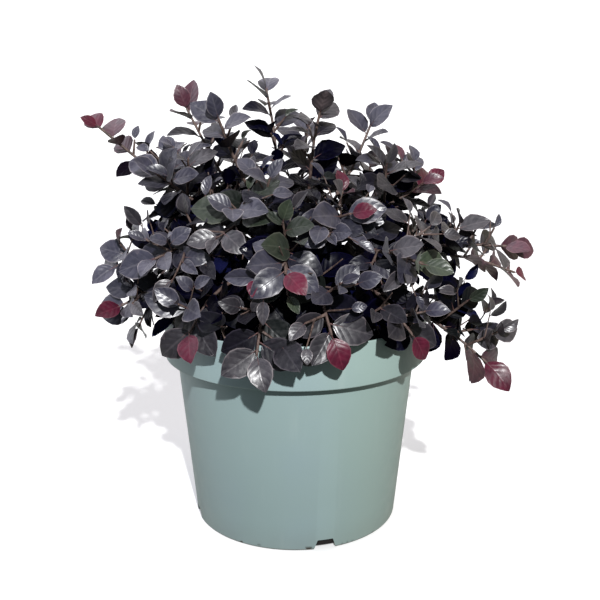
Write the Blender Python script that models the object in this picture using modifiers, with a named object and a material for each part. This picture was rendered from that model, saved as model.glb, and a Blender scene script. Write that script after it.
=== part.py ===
"""A Chinese fringe flower shrub in its nursery pot.

Metres, +Z up. The origin is the middle of the pot's flat underside, and -Y is the front.
A short trunk stands on the potting mix. Boughs leave it all round, and on from the tip of each grows one
mass of foliage: a stem, side twigs that branch by a seeded rule, and leaves fused to them.
Every mass keeps to the space that lies nearer to its own branch than to any other.
"""

import itertools
import math
from dataclasses import dataclass

import bmesh
import bpy
import numpy as np

# The pot
RIM_DIAMETER = 0.250
POT_HEIGHT = 0.2015
COLLAR_HEIGHT = 0.0395
BODY_TOP_DIAMETER = 0.2282
BASE_DIAMETER = 0.1964
WALL = 0.0024
FLOOR = 0.0030
COLLAR_ROUND = 0.0012
LIP_ROUND = 0.0010
FOOT_ROUND = 0.0022
POT_STEPS = 40
CORNER_STEPS = 2

# The drain notches in the pot's foot
NOTCH_COUNT = 4
NOTCH_FIRST_AZIMUTH = 286.0
NOTCH_WIDTH = 0.0212
NOTCH_NARROWING = 0.34
NOTCH_HEIGHT = 0.0098
NOTCH_DEPTH = 0.015

# The potting mix
MIX_BELOW_RIM = 0.0155
MIX_FALL = 0.004
MIX_FLAT_RADIUS = 0.020
GAP = 0.0003

# The trunk
TRUNK_HEIGHT = 0.072
TRUNK_RADIUS = 0.0095
TRUNK_TAPER = 0.42
ROOT_FLARE = 0.0050
FLARE_FADE = 9.0
FOOT_RING = 0.001
TRUNK_LEAN = 0.05
TRUNK_LEAN_AZIMUTH = 160.0
TRUNK_POINTS = 7
TRUNK_SIDES = 9

# The boughs
FIRST_BOUGH = 0.12
BOUGH_ROOT = 0.75
BOUGH_RADIUS = 0.0018
BOUGH_TIP_RADIUS = 0.0017
BOUGH_SHARE = 0.28
BOUGH_POINTS = 4
BOUGH_SIDES = 5
JOINT_SHARE = 0.01
ARCH_WEIGHT = 0.3
SWAY = 0.004
SPINE_POINTS = 61

# The stem and the twigs of a mass
STEM_END = 0.90
STEM_TIP_RADIUS = 0.0011
STEM_POINTS = 5
STEM_BARE = 0.10
TWIG_RADIUS = 0.0013
TWIG_TIP_RADIUS = 0.0009
TWIG_COLLAR = 0.003
TWIG_SIDES = 3
TWIG_BARE = 0.22
TWIG_SPACING = 0.0172
FIRST_TWIG = 0.04
LAST_TWIG = 0.84
FEWEST_TWIGS = 4
TWIG_LONGEST = 0.062
TWIG_SHORTEST = 0.026
TWIG_LENGTH_JITTER = 0.10
TWIG_CUTS = (1.0, 0.75, 0.5)
TWIG_DIVERGENCE = math.radians(58)
TWIG_ROLLS = tuple(math.radians(degrees) for degrees in (0, 28, -28, 56, -56, 84, -84))
LIGHT_PULL = 0.22

# The leaves
LEAF_LENGTH = 0.040
LEAF_WIDTH_SHARE = 0.66
LEAF_THICKNESS = 0.0012
LEAF_CURL = 0.05
LEAF_EGG = 0.85
LEAF_LOWER = 0.28
LEAF_UPPER = 0.68
LEAF_RIB = 0.48
LEAF_SPACING = 0.0120
LAST_LEAF = 0.96
LAST_LEAF_SIZE = 0.80
SIZE_STEP = 0.08
LEAF_DIVERGENCE = math.radians(54)
LEAF_ROLL_JITTER = math.radians(26)
LEAF_TRIES = (1.08, 1.0, 0.92, 0.84, 0.76, 0.70)

# What leaves face: the sky, the open air outside the crown, the end of their shoot, and the sunny side
SKY_PULL = 0.50
OUTWARD_PULL = 0.60
SHOOT_PULL = 0.35
SUN_PULL = np.array([0.10, -0.60, 0.15])
FACING_JITTER = 0.20

# The room that twigs and leaves keep
TWIG_MARGIN = 0.003
TWIG_OPENNESS = 0.012
TWIG_SPARE = 0.012
TWIG_TEST_SHARES = np.linspace(0.3, 1.0, 11)
BLADE_TEST_SHARES = (0.0, 0.25, 0.5, 0.75, 1.0)
LEAF_MARGIN = 0.0008
LEAF_ROOM = 0.0052
LEAF_SPARE = -0.003
LIMB_ROOM = 0.0014
WOOD_ROOM = 0.0026
ROOT_REACH = 0.009
POT_ROOM = 0.0020

FIRST_SEED = 11
UP = np.array([0.0, 0.0, 1.0])
MIX_TOP = POT_HEIGHT - MIX_BELOW_RIM
TRUNK_FOOT = MIX_TOP + GAP
CROWN_CENTRE = np.array([0.0, 0.0, 0.240])
TIP_INFLUENCE = math.radians(12)


@dataclass(frozen=True)
class Branch:
    """A bough with the mass of foliage that grows on from it.

    azimuth is in degrees round the trunk, with 0 on the right and 270 in front. reach and height are where
    the outermost leaf ends, from the trunk's foot and from the ground. arch is how far the middle bows up.
    fullness is the length of its twigs as a share of the usual, which is small on a slender wand.
    """

    name: str
    azimuth: float
    reach: float
    height: float
    arch: float
    fullness: float = 1.0


LEADER = "leader"
BRANCHES = (
    Branch(LEADER, 142, 0.040, 0.424, 0.000, 0.5),
    Branch("right_wand", 318, 0.036, 0.406, 0.000, 0.5),
    Branch("left_wand", 207, 0.082, 0.402, -0.012, 0.5),
    Branch("upper_left_wand", 165, 0.118, 0.413, -0.022, 0.5),
    Branch("left_upper", 199, 0.142, 0.345, 0.000),
    Branch("upper_right", 22, 0.084, 0.394, -0.012, 0.5),
    Branch("back_top", 84, 0.080, 0.378, 0.000, 0.6),
    Branch("far_left", 181, 0.200, 0.392, -0.008, 0.4),
    Branch("left_shoulder", 152, 0.168, 0.322, 0.016, 0.8),
    Branch("left_middle", 193, 0.184, 0.246, 0.022, 0.9),
    Branch("left_low", 203, 0.184, 0.210, 0.032),
    Branch("right_shoulder", 358, 0.134, 0.330, 0.006),
    Branch("right_long", 343, 0.218, 0.272, 0.018, 0.6),
    Branch("right_middle", 5, 0.236, 0.222, 0.036, 0.5),
    Branch("right_low", 336, 0.208, 0.152, 0.043),
    Branch("front_upper_left", 243, 0.122, 0.314, 0.016),
    Branch("front_upper_right", 297, 0.118, 0.310, 0.016),
    Branch("left_front", 220, 0.168, 0.262, 0.032),
    Branch("front", 268, 0.152, 0.258, 0.034),
    Branch("right_front", 315, 0.168, 0.262, 0.028),
    Branch("front_left_low", 234, 0.162, 0.192, 0.050),
    Branch("front_low", 259, 0.164, 0.178, 0.058),
    Branch("front_middle", 283, 0.158, 0.196, 0.052),
    Branch("front_right_low", 310, 0.172, 0.192, 0.048),
    Branch("back_left", 124, 0.176, 0.300, 0.022),
    Branch("back_right", 48, 0.176, 0.296, 0.022),
    Branch("back_left_low", 140, 0.190, 0.212, 0.052),
    Branch("back_low", 92, 0.184, 0.214, 0.050),
    Branch("back_right_low", 38, 0.192, 0.206, 0.054),
)


def azimuth_heading(degrees):
    """The level unit vector at an azimuth."""
    angle = math.radians(degrees)
    return np.array([math.cos(angle), math.sin(angle), 0.0])


def unit(vector):
    """The vector at length 1."""
    return vector / np.linalg.norm(vector)


def material(name, colour, roughness, metallic=0.0):
    """A Principled material of one colour."""
    made = bpy.data.materials.new(name)
    made.use_nodes = True
    shader = made.node_tree.nodes["Principled BSDF"]
    shader.inputs["Base Color"].default_value = (*colour, 1.0)
    shader.inputs["Roughness"].default_value = roughness
    shader.inputs["Metallic"].default_value = metallic
    made.diffuse_color = (*colour, 1.0)
    return made


def new_object(name, data, collection, surface=None):
    """An object for some mesh or curve data, linked to a collection and given its material."""
    made = bpy.data.objects.new(name, data)
    collection.objects.link(made)
    if surface:
        data.materials.append(surface)
    return made


def new_collection(name):
    """A collection in the scene."""
    made = bpy.data.collections.new(name)
    bpy.context.scene.collection.children.link(made)
    return made


def evaluated_mesh(source):
    """A fresh mesh of an object as its modifiers and curve settings leave it."""
    bpy.context.view_layer.update()
    graph = bpy.context.evaluated_depsgraph_get()
    return bpy.data.meshes.new_from_object(source.evaluated_get(graph))


def settled(made, sharp_from=math.radians(30)):
    """Gives a round object the mesh that its modifiers leave, shaded smooth except at its corners."""
    mesh = evaluated_mesh(made)
    made.modifiers.clear()
    made.data = mesh
    mesh.shade_smooth()
    mesh.set_sharp_from_angle(angle=sharp_from)
    return made


def welded(mesh, distance=1e-5):
    """Merges points that lie on each other, as where a curve's caps meet its sides."""
    work = bmesh.new()
    work.from_mesh(mesh)
    bmesh.ops.remove_doubles(work, verts=work.verts, dist=distance)
    bmesh.ops.recalc_face_normals(work, faces=work.faces)
    work.to_mesh(mesh)
    work.free()
    return mesh


def turned(name, profile, collection, surface):
    """A solid of revolution. The profile is (radius, height) points from the axis and back to it."""
    mesh = bpy.data.meshes.new(name)
    points = [(radius, 0.0, height) for radius, height in profile]
    mesh.from_pydata(points, [(i, i + 1) for i in range(len(points) - 1)], [])
    made = new_object(name, mesh, collection, surface)
    screw = made.modifiers.new("turn", "SCREW")
    screw.steps = POT_STEPS
    screw.render_steps = POT_STEPS
    screw.use_merge_vertices = True
    screw.merge_threshold = 1e-5
    return made


def rounded_corner(corner, before, after, radius, steps=CORNER_STEPS):
    """Points of an arc that rounds the corner of an outline, from the side of before to that of after."""
    corner, before, after = (np.array(p) for p in (corner, before, after))
    back, ahead = unit(before - corner), unit(after - corner)
    half_angle = math.acos(float(np.clip(back @ ahead, -1, 1))) / 2
    cut = radius / math.tan(half_angle)
    middle = corner + unit(back + ahead) * radius / math.sin(half_angle)
    first, last = corner + back * cut - middle, corner + ahead * cut - middle
    turn = math.pi - 2 * half_angle
    weights = [(math.sin(turn * (1 - i / steps)), math.sin(turn * i / steps)) for i in range(steps + 1)]
    return [tuple(middle + (first * a + last * b) / math.sin(turn)) for a, b in weights]


def rounded_outline(points, rounds):
    """An open outline with the named corners rounded. rounds is {index of the corner: radius}."""
    outline = []
    for index, point in enumerate(points):
        if index in rounds:
            outline += rounded_corner(point, points[index - 1], points[index + 1], rounds[index])
        else:
            outline.append(point)
    return outline


def wall_radius(height):
    """The radius of the outside of the pot's body at a height."""
    share = height / (POT_HEIGHT - COLLAR_HEIGHT)
    return BASE_DIAMETER / 2 + (BODY_TOP_DIAMETER - BASE_DIAMETER) / 2 * share


def as_cutter(made):
    """Marks an object as one that only cuts others."""
    made.hide_render = True
    made.display_type = "WIRE"
    return made


def notch_cutter(azimuth, collection):
    """A wedge of trapezoid section that cuts one drain notch through the wall and the edge of the floor."""
    outline = bpy.data.curves.new("notch_outline", "CURVE")
    outline.dimensions = "2D"
    outline.fill_mode = "BOTH"
    outline.extrude = NOTCH_DEPTH
    change = NOTCH_NARROWING * NOTCH_HEIGHT
    above, below = NOTCH_WIDTH / 2 - change, NOTCH_WIDTH / 2 + change
    corners = [
        (-below, -NOTCH_HEIGHT),
        (below, -NOTCH_HEIGHT),
        (above, NOTCH_HEIGHT),
        (-above, NOTCH_HEIGHT),
    ]
    spline = outline.splines.new("POLY")
    spline.points.add(len(corners) - 1)
    for point, (x, y) in zip(spline.points, corners):
        point.co = (x, y, 0.0, 1.0)
    spline.use_cyclic_u = True
    source = new_object("notch_source", outline, collection)
    made = new_object(f"notch_{azimuth:.0f}", welded(evaluated_mesh(source)), collection)
    bpy.data.objects.remove(source)
    made.location = azimuth_heading(azimuth) * BASE_DIAMETER / 2
    made.rotation_euler = (math.pi / 2, 0.0, math.radians(azimuth + 90))
    return as_cutter(made)


def build_pot(parts, cutters, surface):
    """The moulded pot: a tapered wall, a stepped collar, a flat floor and drain notches in its foot."""
    rim, step = RIM_DIAMETER / 2, POT_HEIGHT - COLLAR_HEIGHT
    inner_foot = wall_radius(FLOOR) - WALL
    corners = [
        (0.0, FLOOR),
        (inner_foot, FLOOR),
        (wall_radius(step) - WALL, step + WALL),
        (rim - WALL, step + WALL),
        (rim - WALL, POT_HEIGHT),
        (rim, POT_HEIGHT),
        (rim, step),
        (wall_radius(step), step),
        (BASE_DIAMETER / 2, 0.0),
        (0.0, 0.0),
    ]
    rounds = {3: COLLAR_ROUND, 4: LIP_ROUND, 5: LIP_ROUND, 6: COLLAR_ROUND, 8: FOOT_ROUND}
    pot = turned("pot", rounded_outline(corners, rounds), parts, surface)
    for index in range(NOTCH_COUNT):
        notch = notch_cutter(NOTCH_FIRST_AZIMUTH + index * 360 / NOTCH_COUNT, cutters)
        cut = pot.modifiers.new(f"notch_{index}", "BOOLEAN")
        cut.operation = "DIFFERENCE"
        cut.object = notch
    return settled(pot)


def build_potting_mix(parts, surface):
    """The potting mix, which fills the pot to a little under its rim, with a low dome round the trunk."""
    rim, step = RIM_DIAMETER / 2 - WALL - GAP, POT_HEIGHT - COLLAR_HEIGHT
    corners = [
        (0.0, MIX_TOP),
        (MIX_FLAT_RADIUS, MIX_TOP),
        (rim, MIX_TOP - MIX_FALL),
        (rim, step + WALL + GAP),
        (wall_radius(step) - WALL - GAP, step + WALL + GAP),
        (wall_radius(FLOOR) - WALL - GAP, FLOOR + GAP),
        (0.0, FLOOR + GAP),
    ]
    outline = rounded_outline(corners, {3: COLLAR_ROUND - GAP})
    return settled(turned("potting_mix", outline, parts, surface))


def trunk_axis(height):
    """The middle of the trunk at a height over the ground, on its slight lean."""
    rise = max(height - TRUNK_FOOT, 0.0)
    lean = azimuth_heading(TRUNK_LEAN_AZIMUTH) * TRUNK_LEAN * rise * rise / TRUNK_HEIGHT
    return lean + UP * height


def trunk_radius(height):
    """The trunk's radius at a height: a taper, and a root flare that fades out quickly."""
    share = (height - TRUNK_FOOT) / TRUNK_HEIGHT
    return TRUNK_RADIUS * (1 - TRUNK_TAPER * share) + ROOT_FLARE * math.exp(-FLARE_FADE * share)


def limb(name, points, radii, collection, surface=None, sides=BOUGH_SIDES):
    """A tapering limb with flat ends and a section of a few sides, as a welded mesh made from a curve."""
    outline = bpy.data.curves.new("section", "CURVE")
    ring = outline.splines.new("POLY")
    ring.points.add(sides - 1)
    for index, point in enumerate(ring.points):
        angle = math.tau * index / sides
        point.co = (math.cos(angle), math.sin(angle), 0.0, 1.0)
    ring.use_cyclic_u = True
    section = new_object("section", outline, collection)

    curve = bpy.data.curves.new(name, "CURVE")
    curve.dimensions = "3D"
    curve.use_fill_caps = True
    curve.bevel_mode = "OBJECT"
    curve.bevel_object = section
    spline = curve.splines.new("POLY")
    spline.points.add(len(points) - 1)
    for point, place, radius in zip(spline.points, points, radii):
        point.co = (*place, 1.0)
        point.radius = radius
    source = new_object("limb_source", curve, collection)
    made = new_object(name, welded(evaluated_mesh(source)), collection, surface)
    bpy.data.objects.remove(source)
    bpy.data.objects.remove(section)
    return made


def build_trunk(name, parts, surface=None, grown=0.0):
    """The trunk from its level cut on the potting mix to its fork. grown makes it larger all round, as a cutter."""
    heights = np.linspace(TRUNK_FOOT, TRUNK_FOOT + TRUNK_HEIGHT, TRUNK_POINTS)
    heights = np.insert(heights, 1, TRUNK_FOOT + FOOT_RING)
    points = [trunk_axis(height) for height in heights]
    points[-1] = points[-1] + UP * grown
    radii = [trunk_radius(height) + grown for height in heights]
    return limb(name, points, radii, parts, surface, sides=TRUNK_SIDES)


def spine(branch, start_height):
    """Points along a branch from inside the trunk to its outermost leaf tip.

    It is a straight line that bows up by the arch in its middle and sways a little from side to side.
    """
    outward = azimuth_heading(branch.azimuth)
    start = trunk_axis(start_height)
    if branch.name != LEADER:
        start = start + outward * trunk_radius(start_height) * BOUGH_ROOT
    tip = outward * branch.reach + UP * branch.height
    share = np.linspace(0.0, 1.0, SPINE_POINTS)[:, None]
    bow = UP * branch.arch * 4 * share * (1 - share)
    across = np.cross(UP, outward) * SWAY * np.sin(math.tau * share)
    return start + (tip - start) * share + bow + across


def all_spines():
    """Every branch's spine by name. The branches with the lowest tips leave the trunk lowest."""
    ordered = sorted(BRANCHES, key=lambda branch: branch.height + branch.arch * ARCH_WEIGHT)
    heights = TRUNK_FOOT + TRUNK_HEIGHT * np.linspace(FIRST_BOUGH, 1.0, len(ordered))
    return {branch.name: spine(branch, height) for branch, height in zip(ordered, heights)}


def along(points, share):
    """The point at a share of the way along a row of evenly spaced points."""
    place = np.clip(share, 0.0, 1.0) * (len(points) - 1)
    low = min(int(place), len(points) - 2)
    return points[low] + (points[low + 1] - points[low]) * (place - low)


def densified(shoots):
    """Close points along all shoots of a mass."""
    shares = np.linspace(0.0, 1.0, 21)
    return np.array([along(shoot.points, share) for shoot in shoots for share in shares])


def heading_along(points, share, step=0.03):
    """The unit direction of a row of points at a share of the way along it."""
    return unit(along(points, share + step) - along(points, share - step))


def row_length(points):
    """The length of a row of points."""
    return float(np.linalg.norm(np.diff(points, axis=0), axis=1).sum())


def cross_frame(heading, fallback):
    """The sideways and the upper unit vectors of a shoot that runs along heading."""
    level = np.array([heading[0], heading[1], 0.0])
    size = np.linalg.norm(level)
    level = level / size if size > 0.15 else fallback
    upper = unit(UP * size - level * heading[2])
    return unit(np.cross(heading, upper)), upper


def diverging(heading, fallback, angle, roll):
    """A direction that leaves a shoot at an angle, rolled round the shoot from its sideways vector."""
    sideways, upper = cross_frame(heading, fallback)
    away = sideways * math.cos(roll) + upper * math.sin(roll)
    return unit(heading * math.cos(angle) + away * math.sin(angle))


def grown_twig(start, heading, length):
    """The two ends of a twig that sets out along heading, and is drawn up a little by the light."""
    return np.array([start, start + unit(heading + UP * LIGHT_PULL) * length])


def crown_radius(directions):
    """How far the crown reaches from its centre in each direction, as a blend of its nearest branch tips."""
    tips = np.array([azimuth_heading(b.azimuth) * b.reach + UP * b.height for b in BRANCHES]) - CROWN_CENTRE
    radii = np.linalg.norm(tips, axis=1)
    angles = np.arccos(np.clip(directions @ (tips / radii[:, None]).T, -1.0, 1.0))
    influence = TIP_INFLUENCE * np.array([branch.fullness for branch in BRANCHES])
    nearness = np.exp(-((angles / influence) ** 2)) + 1e-9
    return (nearness * radii).sum(axis=1) / nearness.sum(axis=1)


def leaf_points(root, direction, heading, length, chance):
    """The 7 points of a leaf: its root, two up its left side, its tip, two down its right side, and its rib.

    The blade turns its face to the light, and its tip curls down.
    """
    light = UP * SKY_PULL + unit(root - CROWN_CENTRE) * OUTWARD_PULL + heading * SHOOT_PULL + SUN_PULL
    light = light + chance.normal(0.0, FACING_JITTER, 3)
    normal = unit(light - direction * (light @ direction))
    across = np.cross(normal, direction)

    def place(share, side, lift=0.0):
        half_width = length * LEAF_WIDTH_SHARE / 2 * math.sin(math.pi * share ** LEAF_EGG)
        droop = -LEAF_CURL * length * share * share
        return root + direction * length * share + across * half_width * side + normal * (droop + lift)

    left = [place(LEAF_LOWER, 1), place(LEAF_UPPER, 1)]
    right = [place(LEAF_UPPER, -1), place(LEAF_LOWER, -1)]
    return np.array([root, *left, place(1.0, 0), *right, place(LEAF_RIB, 0, LEAF_THICKNESS)])


# The top is a low roof round the rib, and the underside is flat
LEAF_FACES = (
    [(6, a, b) for a, b in zip((0, 5, 4, 3, 2, 1), (5, 4, 3, 2, 1, 0))]
    + [(0, 1, 5), (1, 4, 5), (1, 2, 4), (2, 3, 4)]
)


def spread_over(points):
    """Close points all over a leaf's blade: its outline with the middle of each side, drawn in to its rib."""
    outline, rib = points[:6], points[6]
    outline = np.vstack([outline, (outline + np.roll(outline, -1, axis=0)) / 2])
    return np.vstack([rib + (outline - rib) * share for share in BLADE_TEST_SHARES])


def gaps_between(points, others):
    """Each point's distance to the nearest of the others."""
    return np.linalg.norm(points[:, None] - others[None], axis=2).min(axis=1)


class Room:
    """Says whether a twig or leaf has room: in its mass's own space, and clear of limbs, pot and other leaves."""

    def __init__(self, spines):
        shares = np.linspace(0.0, BOUGH_SHARE, 24)
        boughs = [
            np.array([along(points, share) for share in shares])
            for name, points in spines.items() if name != LEADER
        ]
        heights = np.linspace(TRUNK_FOOT, TRUNK_FOOT + TRUNK_HEIGHT, 24)
        trunk = np.array([trunk_axis(height) for height in heights])
        self.limb_points = np.vstack([*boughs, trunk])
        self.limb_radii = np.concatenate([
            np.full(len(boughs) * len(shares), BOUGH_RADIUS),
            [trunk_radius(height) for height in heights],
        ])
        self.wood = {name: points[len(points) // 3:] for name, points in spines.items()}
        self.leaf_outlines = np.empty((0, 3))

    def in_own_space(self, name, points, margin):
        """Whether all points are nearer to this mass's wood than to any other's, by twice the margin."""
        others = np.vstack([row for other, row in self.wood.items() if other != name])
        return bool((gaps_between(points, self.wood[name]) + 2 * margin < gaps_between(points, others)).all())

    def clear_of_limbs(self, points):
        """Whether all points keep off the trunk and the boughs."""
        gaps = np.linalg.norm(points[:, None] - self.limb_points[None], axis=2) - self.limb_radii
        return gaps.min() > LIMB_ROOM

    def in_crown(self, points, spare):
        """Whether all points keep inside the crown's outline, with some room to spare."""
        offsets = points - CROWN_CENTRE
        sizes = np.linalg.norm(offsets, axis=1)
        return bool((sizes + spare < crown_radius(offsets / sizes[:, None])).all())

    def clear_of_pot(self, points):
        """Whether all points keep out of the pot and its potting mix."""
        radii = np.hypot(points[:, 0], points[:, 1])
        low = points[:, 2] < POT_HEIGHT + POT_ROOM
        over_mix = (radii < RIM_DIAMETER / 2 - WALL - POT_ROOM) & (points[:, 2] > MIX_TOP + POT_ROOM)
        return not (low & (radii < RIM_DIAMETER / 2 + POT_ROOM) & ~over_mix).any()

    def for_twig(self, name, points):
        """How open the place at a twig's tip is, or nothing where a twig of this mass may not lie."""
        allowed = (
            self.in_own_space(name, points, TWIG_MARGIN)
            and self.clear_of_limbs(points)
            and self.clear_of_pot(points)
            and self.in_crown(points, TWIG_SPARE)
        )
        return float(gaps_between(points[-1:], np.vstack(list(self.wood.values())))[0]) if allowed else 0.0

    def add_wood(self, name, points):
        """Remembers a twig, so that the next ones grow away from it."""
        self.wood[name] = np.vstack([self.wood[name], points])

    def for_leaf(self, name, points):
        """The same for a leaf, which also stands off the other leaves. One that fits is remembered."""
        rim, middle = points[1:6], points[6]
        outline = np.vstack([rim, middle, (rim + middle) / 2, (rim[1:] + rim[:-1]) / 2])
        if len(self.leaf_outlines) and gaps_between(outline, self.leaf_outlines).min() < LEAF_ROOM:
            return False
        own = self.wood[name]
        far_wood = own[np.linalg.norm(own - points[0], axis=1) > ROOT_REACH]
        if gaps_between(outline, far_wood).min() < WOOD_ROOM:
            return False
        blade = spread_over(points)
        fits = (
            self.in_own_space(name, outline, LEAF_MARGIN)
            and self.clear_of_limbs(blade)
            and self.clear_of_pot(blade)
            and self.in_crown(outline, LEAF_SPARE)
        )
        if fits:
            self.leaf_outlines = np.vstack([self.leaf_outlines, outline])
        return fits


@dataclass
class Shoot:
    """A stem or twig: its evenly spaced points, a point close to its foot, its two radii and its bare share.

    The radii are at foot and tip, and the bare share is the stretch next to its foot that bears no leaves.
    """

    points: np.ndarray
    neck: np.ndarray
    radii: tuple
    bare: float


def grown_shoots(branch, spine_points, room, chance):
    """The stem of a mass, and the twigs that leave it on one side and then the other.

    Each twig takes the most open of a few directions and lengths, and is left out where none is open.
    """
    outward = azimuth_heading(branch.azimuth)
    first_share = BOUGH_SHARE + GAP / row_length(spine_points)
    if branch.name == LEADER:
        slant = np.linalg.norm(heading_along(spine_points, 0.0)[:2])
        first_share = (GAP + BOUGH_TIP_RADIUS * slant) / row_length(spine_points)
    shares = np.linspace(first_share, STEM_END, STEM_POINTS)
    stem_points = np.array([along(spine_points, share) for share in shares])
    neck = along(spine_points, first_share + JOINT_SHARE)
    shoots = [Shoot(stem_points, neck, (BOUGH_TIP_RADIUS, STEM_TIP_RADIUS), STEM_BARE)]
    count = max(FEWEST_TWIGS, round(row_length(stem_points) / TWIG_SPACING))
    for index in range(count):
        share = FIRST_TWIG + (LAST_TWIG - FIRST_TWIG) * index / (count - 1)
        start, heading = along(stem_points, share), heading_along(stem_points, share)
        reach = TWIG_LONGEST + (TWIG_SHORTEST - TWIG_LONGEST) * share
        reach *= branch.fullness * (1 + chance.uniform(-TWIG_LENGTH_JITTER, TWIG_LENGTH_JITTER))
        side = 0.0 if index % 2 else math.pi
        choices = []
        for roll, cut in itertools.product(TWIG_ROLLS, TWIG_CUTS):
            twig = grown_twig(start, diverging(heading, outward, TWIG_DIVERGENCE, side + roll), reach * cut)
            openness = room.for_twig(branch.name, np.array([along(twig, share) for share in TWIG_TEST_SHARES]))
            choices.append((openness, twig))
        openness, twig = max(choices, key=lambda choice: choice[0])
        if openness > TWIG_OPENNESS:
            foot, tip = twig
            neck = foot + unit(tip - foot) * TWIG_COLLAR
            shoots.append(Shoot(twig, neck, (TWIG_RADIUS, TWIG_TIP_RADIUS), TWIG_BARE))
            room.add_wood(branch.name, densified(shoots[-1:]))
    return shoots


def build_leaf(points, collection):
    """A leaf as a closed blade of 10 faces, thickest at its rib."""
    mesh = bpy.data.meshes.new("leaf")
    mesh.from_pydata([tuple(point) for point in points], [], LEAF_FACES)
    return new_object("leaf", mesh, collection)


def leaves_on(shoot, name, fallback, room, chance, collection):
    """A leaf at a shoot's end, and on down its two sides in turn, each as large as it finds room for."""
    leafy = 1 - shoot.bare
    count = max(2, round(row_length(shoot.points) * leafy / LEAF_SPACING))
    shares = [shoot.bare + leafy * (index + 0.5) / count for index in range(count - 1)] + [LAST_LEAF]
    for index, share in enumerate(reversed(shares)):
        root, heading = along(shoot.points, share), heading_along(shoot.points, share)
        size = LEAF_LENGTH * min(1.0, LAST_LEAF_SIZE + SIZE_STEP * index)
        for smaller in LEAF_TRIES:
            if index == 0:
                direction = heading
            else:
                roll = (0.0 if index % 2 else math.pi) + chance.normal(0.0, LEAF_ROLL_JITTER)
                direction = diverging(heading, fallback, LEAF_DIVERGENCE, roll)
            points = leaf_points(root, direction, heading, size * smaller, chance)
            if room.for_leaf(name, points):
                build_leaf(points, collection)
                break


def fused(stem, pieces):
    """Joins a collection of closed pieces to the stem by one Boolean union, and keeps its one outer skin."""
    union = stem.modifiers.new("union", "BOOLEAN")
    union.operation = "UNION"
    union.operand_type = "COLLECTION"
    union.collection = pieces
    union.solver = "MANIFOLD"
    stem.data = largest_skin(evaluated_mesh(stem))
    stem.modifiers.remove(union)
    for piece in list(pieces.objects):
        bpy.data.objects.remove(piece)


def largest_skin(mesh):
    """Drops loose scraps, and fills sealed hollows by dropping their inner skins."""
    work = bmesh.new()
    work.from_mesh(mesh)
    bmesh.ops.triangulate(work, faces=work.faces)
    left, skins = set(work.verts), []
    while left:
        reached, edge = set(), [left.pop()]
        while edge:
            vert = edge.pop()
            reached.add(vert)
            near = {end for link in vert.link_edges for end in link.verts} & left
            left -= near
            edge += near
        skins.append(reached)
    skins.sort(key=len)
    for scrap in skins[:-1]:
        bmesh.ops.delete(work, geom=list(scrap), context="VERTS")
    work.to_mesh(mesh)
    work.free()
    return mesh


def build_bough(branch, points, trunk_cutter, parts, surface):
    """One tapering bough, cut clear of the trunk that carries it."""
    shares = np.linspace(0.0, BOUGH_SHARE, BOUGH_POINTS)
    shares = np.insert(shares, -1, BOUGH_SHARE - JOINT_SHARE)
    radii = BOUGH_RADIUS + (BOUGH_TIP_RADIUS - BOUGH_RADIUS) * shares / BOUGH_SHARE
    bough = limb(f"bough_{branch.name}", [along(points, share) for share in shares], radii, parts, surface)
    cut = bough.modifiers.new("clear_of_trunk", "BOOLEAN")
    cut.operation = "DIFFERENCE"
    cut.object = trunk_cutter
    return settled(bough)


def build_foliage(branch, shoots, room, chance, parts, workshop, surface):
    """One mass of foliage: its stem, side twigs and leaves, fused into one solid."""
    outward = azimuth_heading(branch.azimuth)
    stem, *twigs = shoots
    stem_points = np.insert(stem.points, 1, stem.neck, axis=0)
    radii = [stem.radii[0], *np.linspace(*stem.radii, len(stem.points))]
    mass = limb(f"foliage_{branch.name}", stem_points, radii, parts, surface, sides=TWIG_SIDES)
    leaves_on(stem, branch.name, outward, room, chance, workshop)
    for twig in twigs:
        foot, tip = twig.points
        limb("twig", [foot, twig.neck, tip], [0.0, *twig.radii], workshop, sides=TWIG_SIDES)
        leaves_on(twig, branch.name, outward, room, chance, workshop)
    fused(mass, workshop)
    return mass


def main():
    """Builds the pot, the potting mix, the trunk, the boughs and the masses of foliage."""
    for old in list(bpy.data.objects):
        bpy.data.objects.remove(old)
    parts = new_collection("fringe_flower_shrub")
    cutters = new_collection("cutters")
    workshop = new_collection("workshop")

    plastic = material("sage_plastic", (0.36, 0.47, 0.44), 0.38)
    mix = material("potting_mix", (0.020, 0.014, 0.010), 0.95)
    bark = material("bark", (0.16, 0.10, 0.07), 0.85)
    leaf = material("plum_leaf", (0.075, 0.055, 0.075), 0.48)

    build_pot(parts, cutters, plastic)
    build_potting_mix(parts, mix)
    settled(build_trunk("trunk", parts, bark))
    trunk_cutter = as_cutter(build_trunk("trunk_cutter", cutters, grown=GAP))

    spines = all_spines()
    room = Room(spines)
    chances = {branch.name: np.random.default_rng(FIRST_SEED + index) for index, branch in enumerate(BRANCHES)}
    shoots = {
        branch.name: grown_shoots(branch, spines[branch.name], room, chances[branch.name]) for branch in BRANCHES
    }
    room.wood = {name: densified(row) for name, row in shoots.items()}
    for branch in BRANCHES:
        if branch.name != LEADER:
            build_bough(branch, spines[branch.name], trunk_cutter, parts, bark)
        build_foliage(branch, shoots[branch.name], room, chances[branch.name], parts, workshop, leaf)


main()
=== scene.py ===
"""The looks of a Chinese fringe flower shrub in its nursery pot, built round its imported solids.

Metres, +Z up. The origin is the middle of the pot's flat underside, and -Y is the front that the photo
shows. Boughs, stems and twigs are grown again by the rule that shaped the solids, so they lie where those
lie. The rule then goes on to finer sprigs, and every shoot bears leaves at their real size.
"""

import functools
import itertools
import logging
import math
from dataclasses import dataclass, field
from enum import Enum
from typing import Callable

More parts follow.
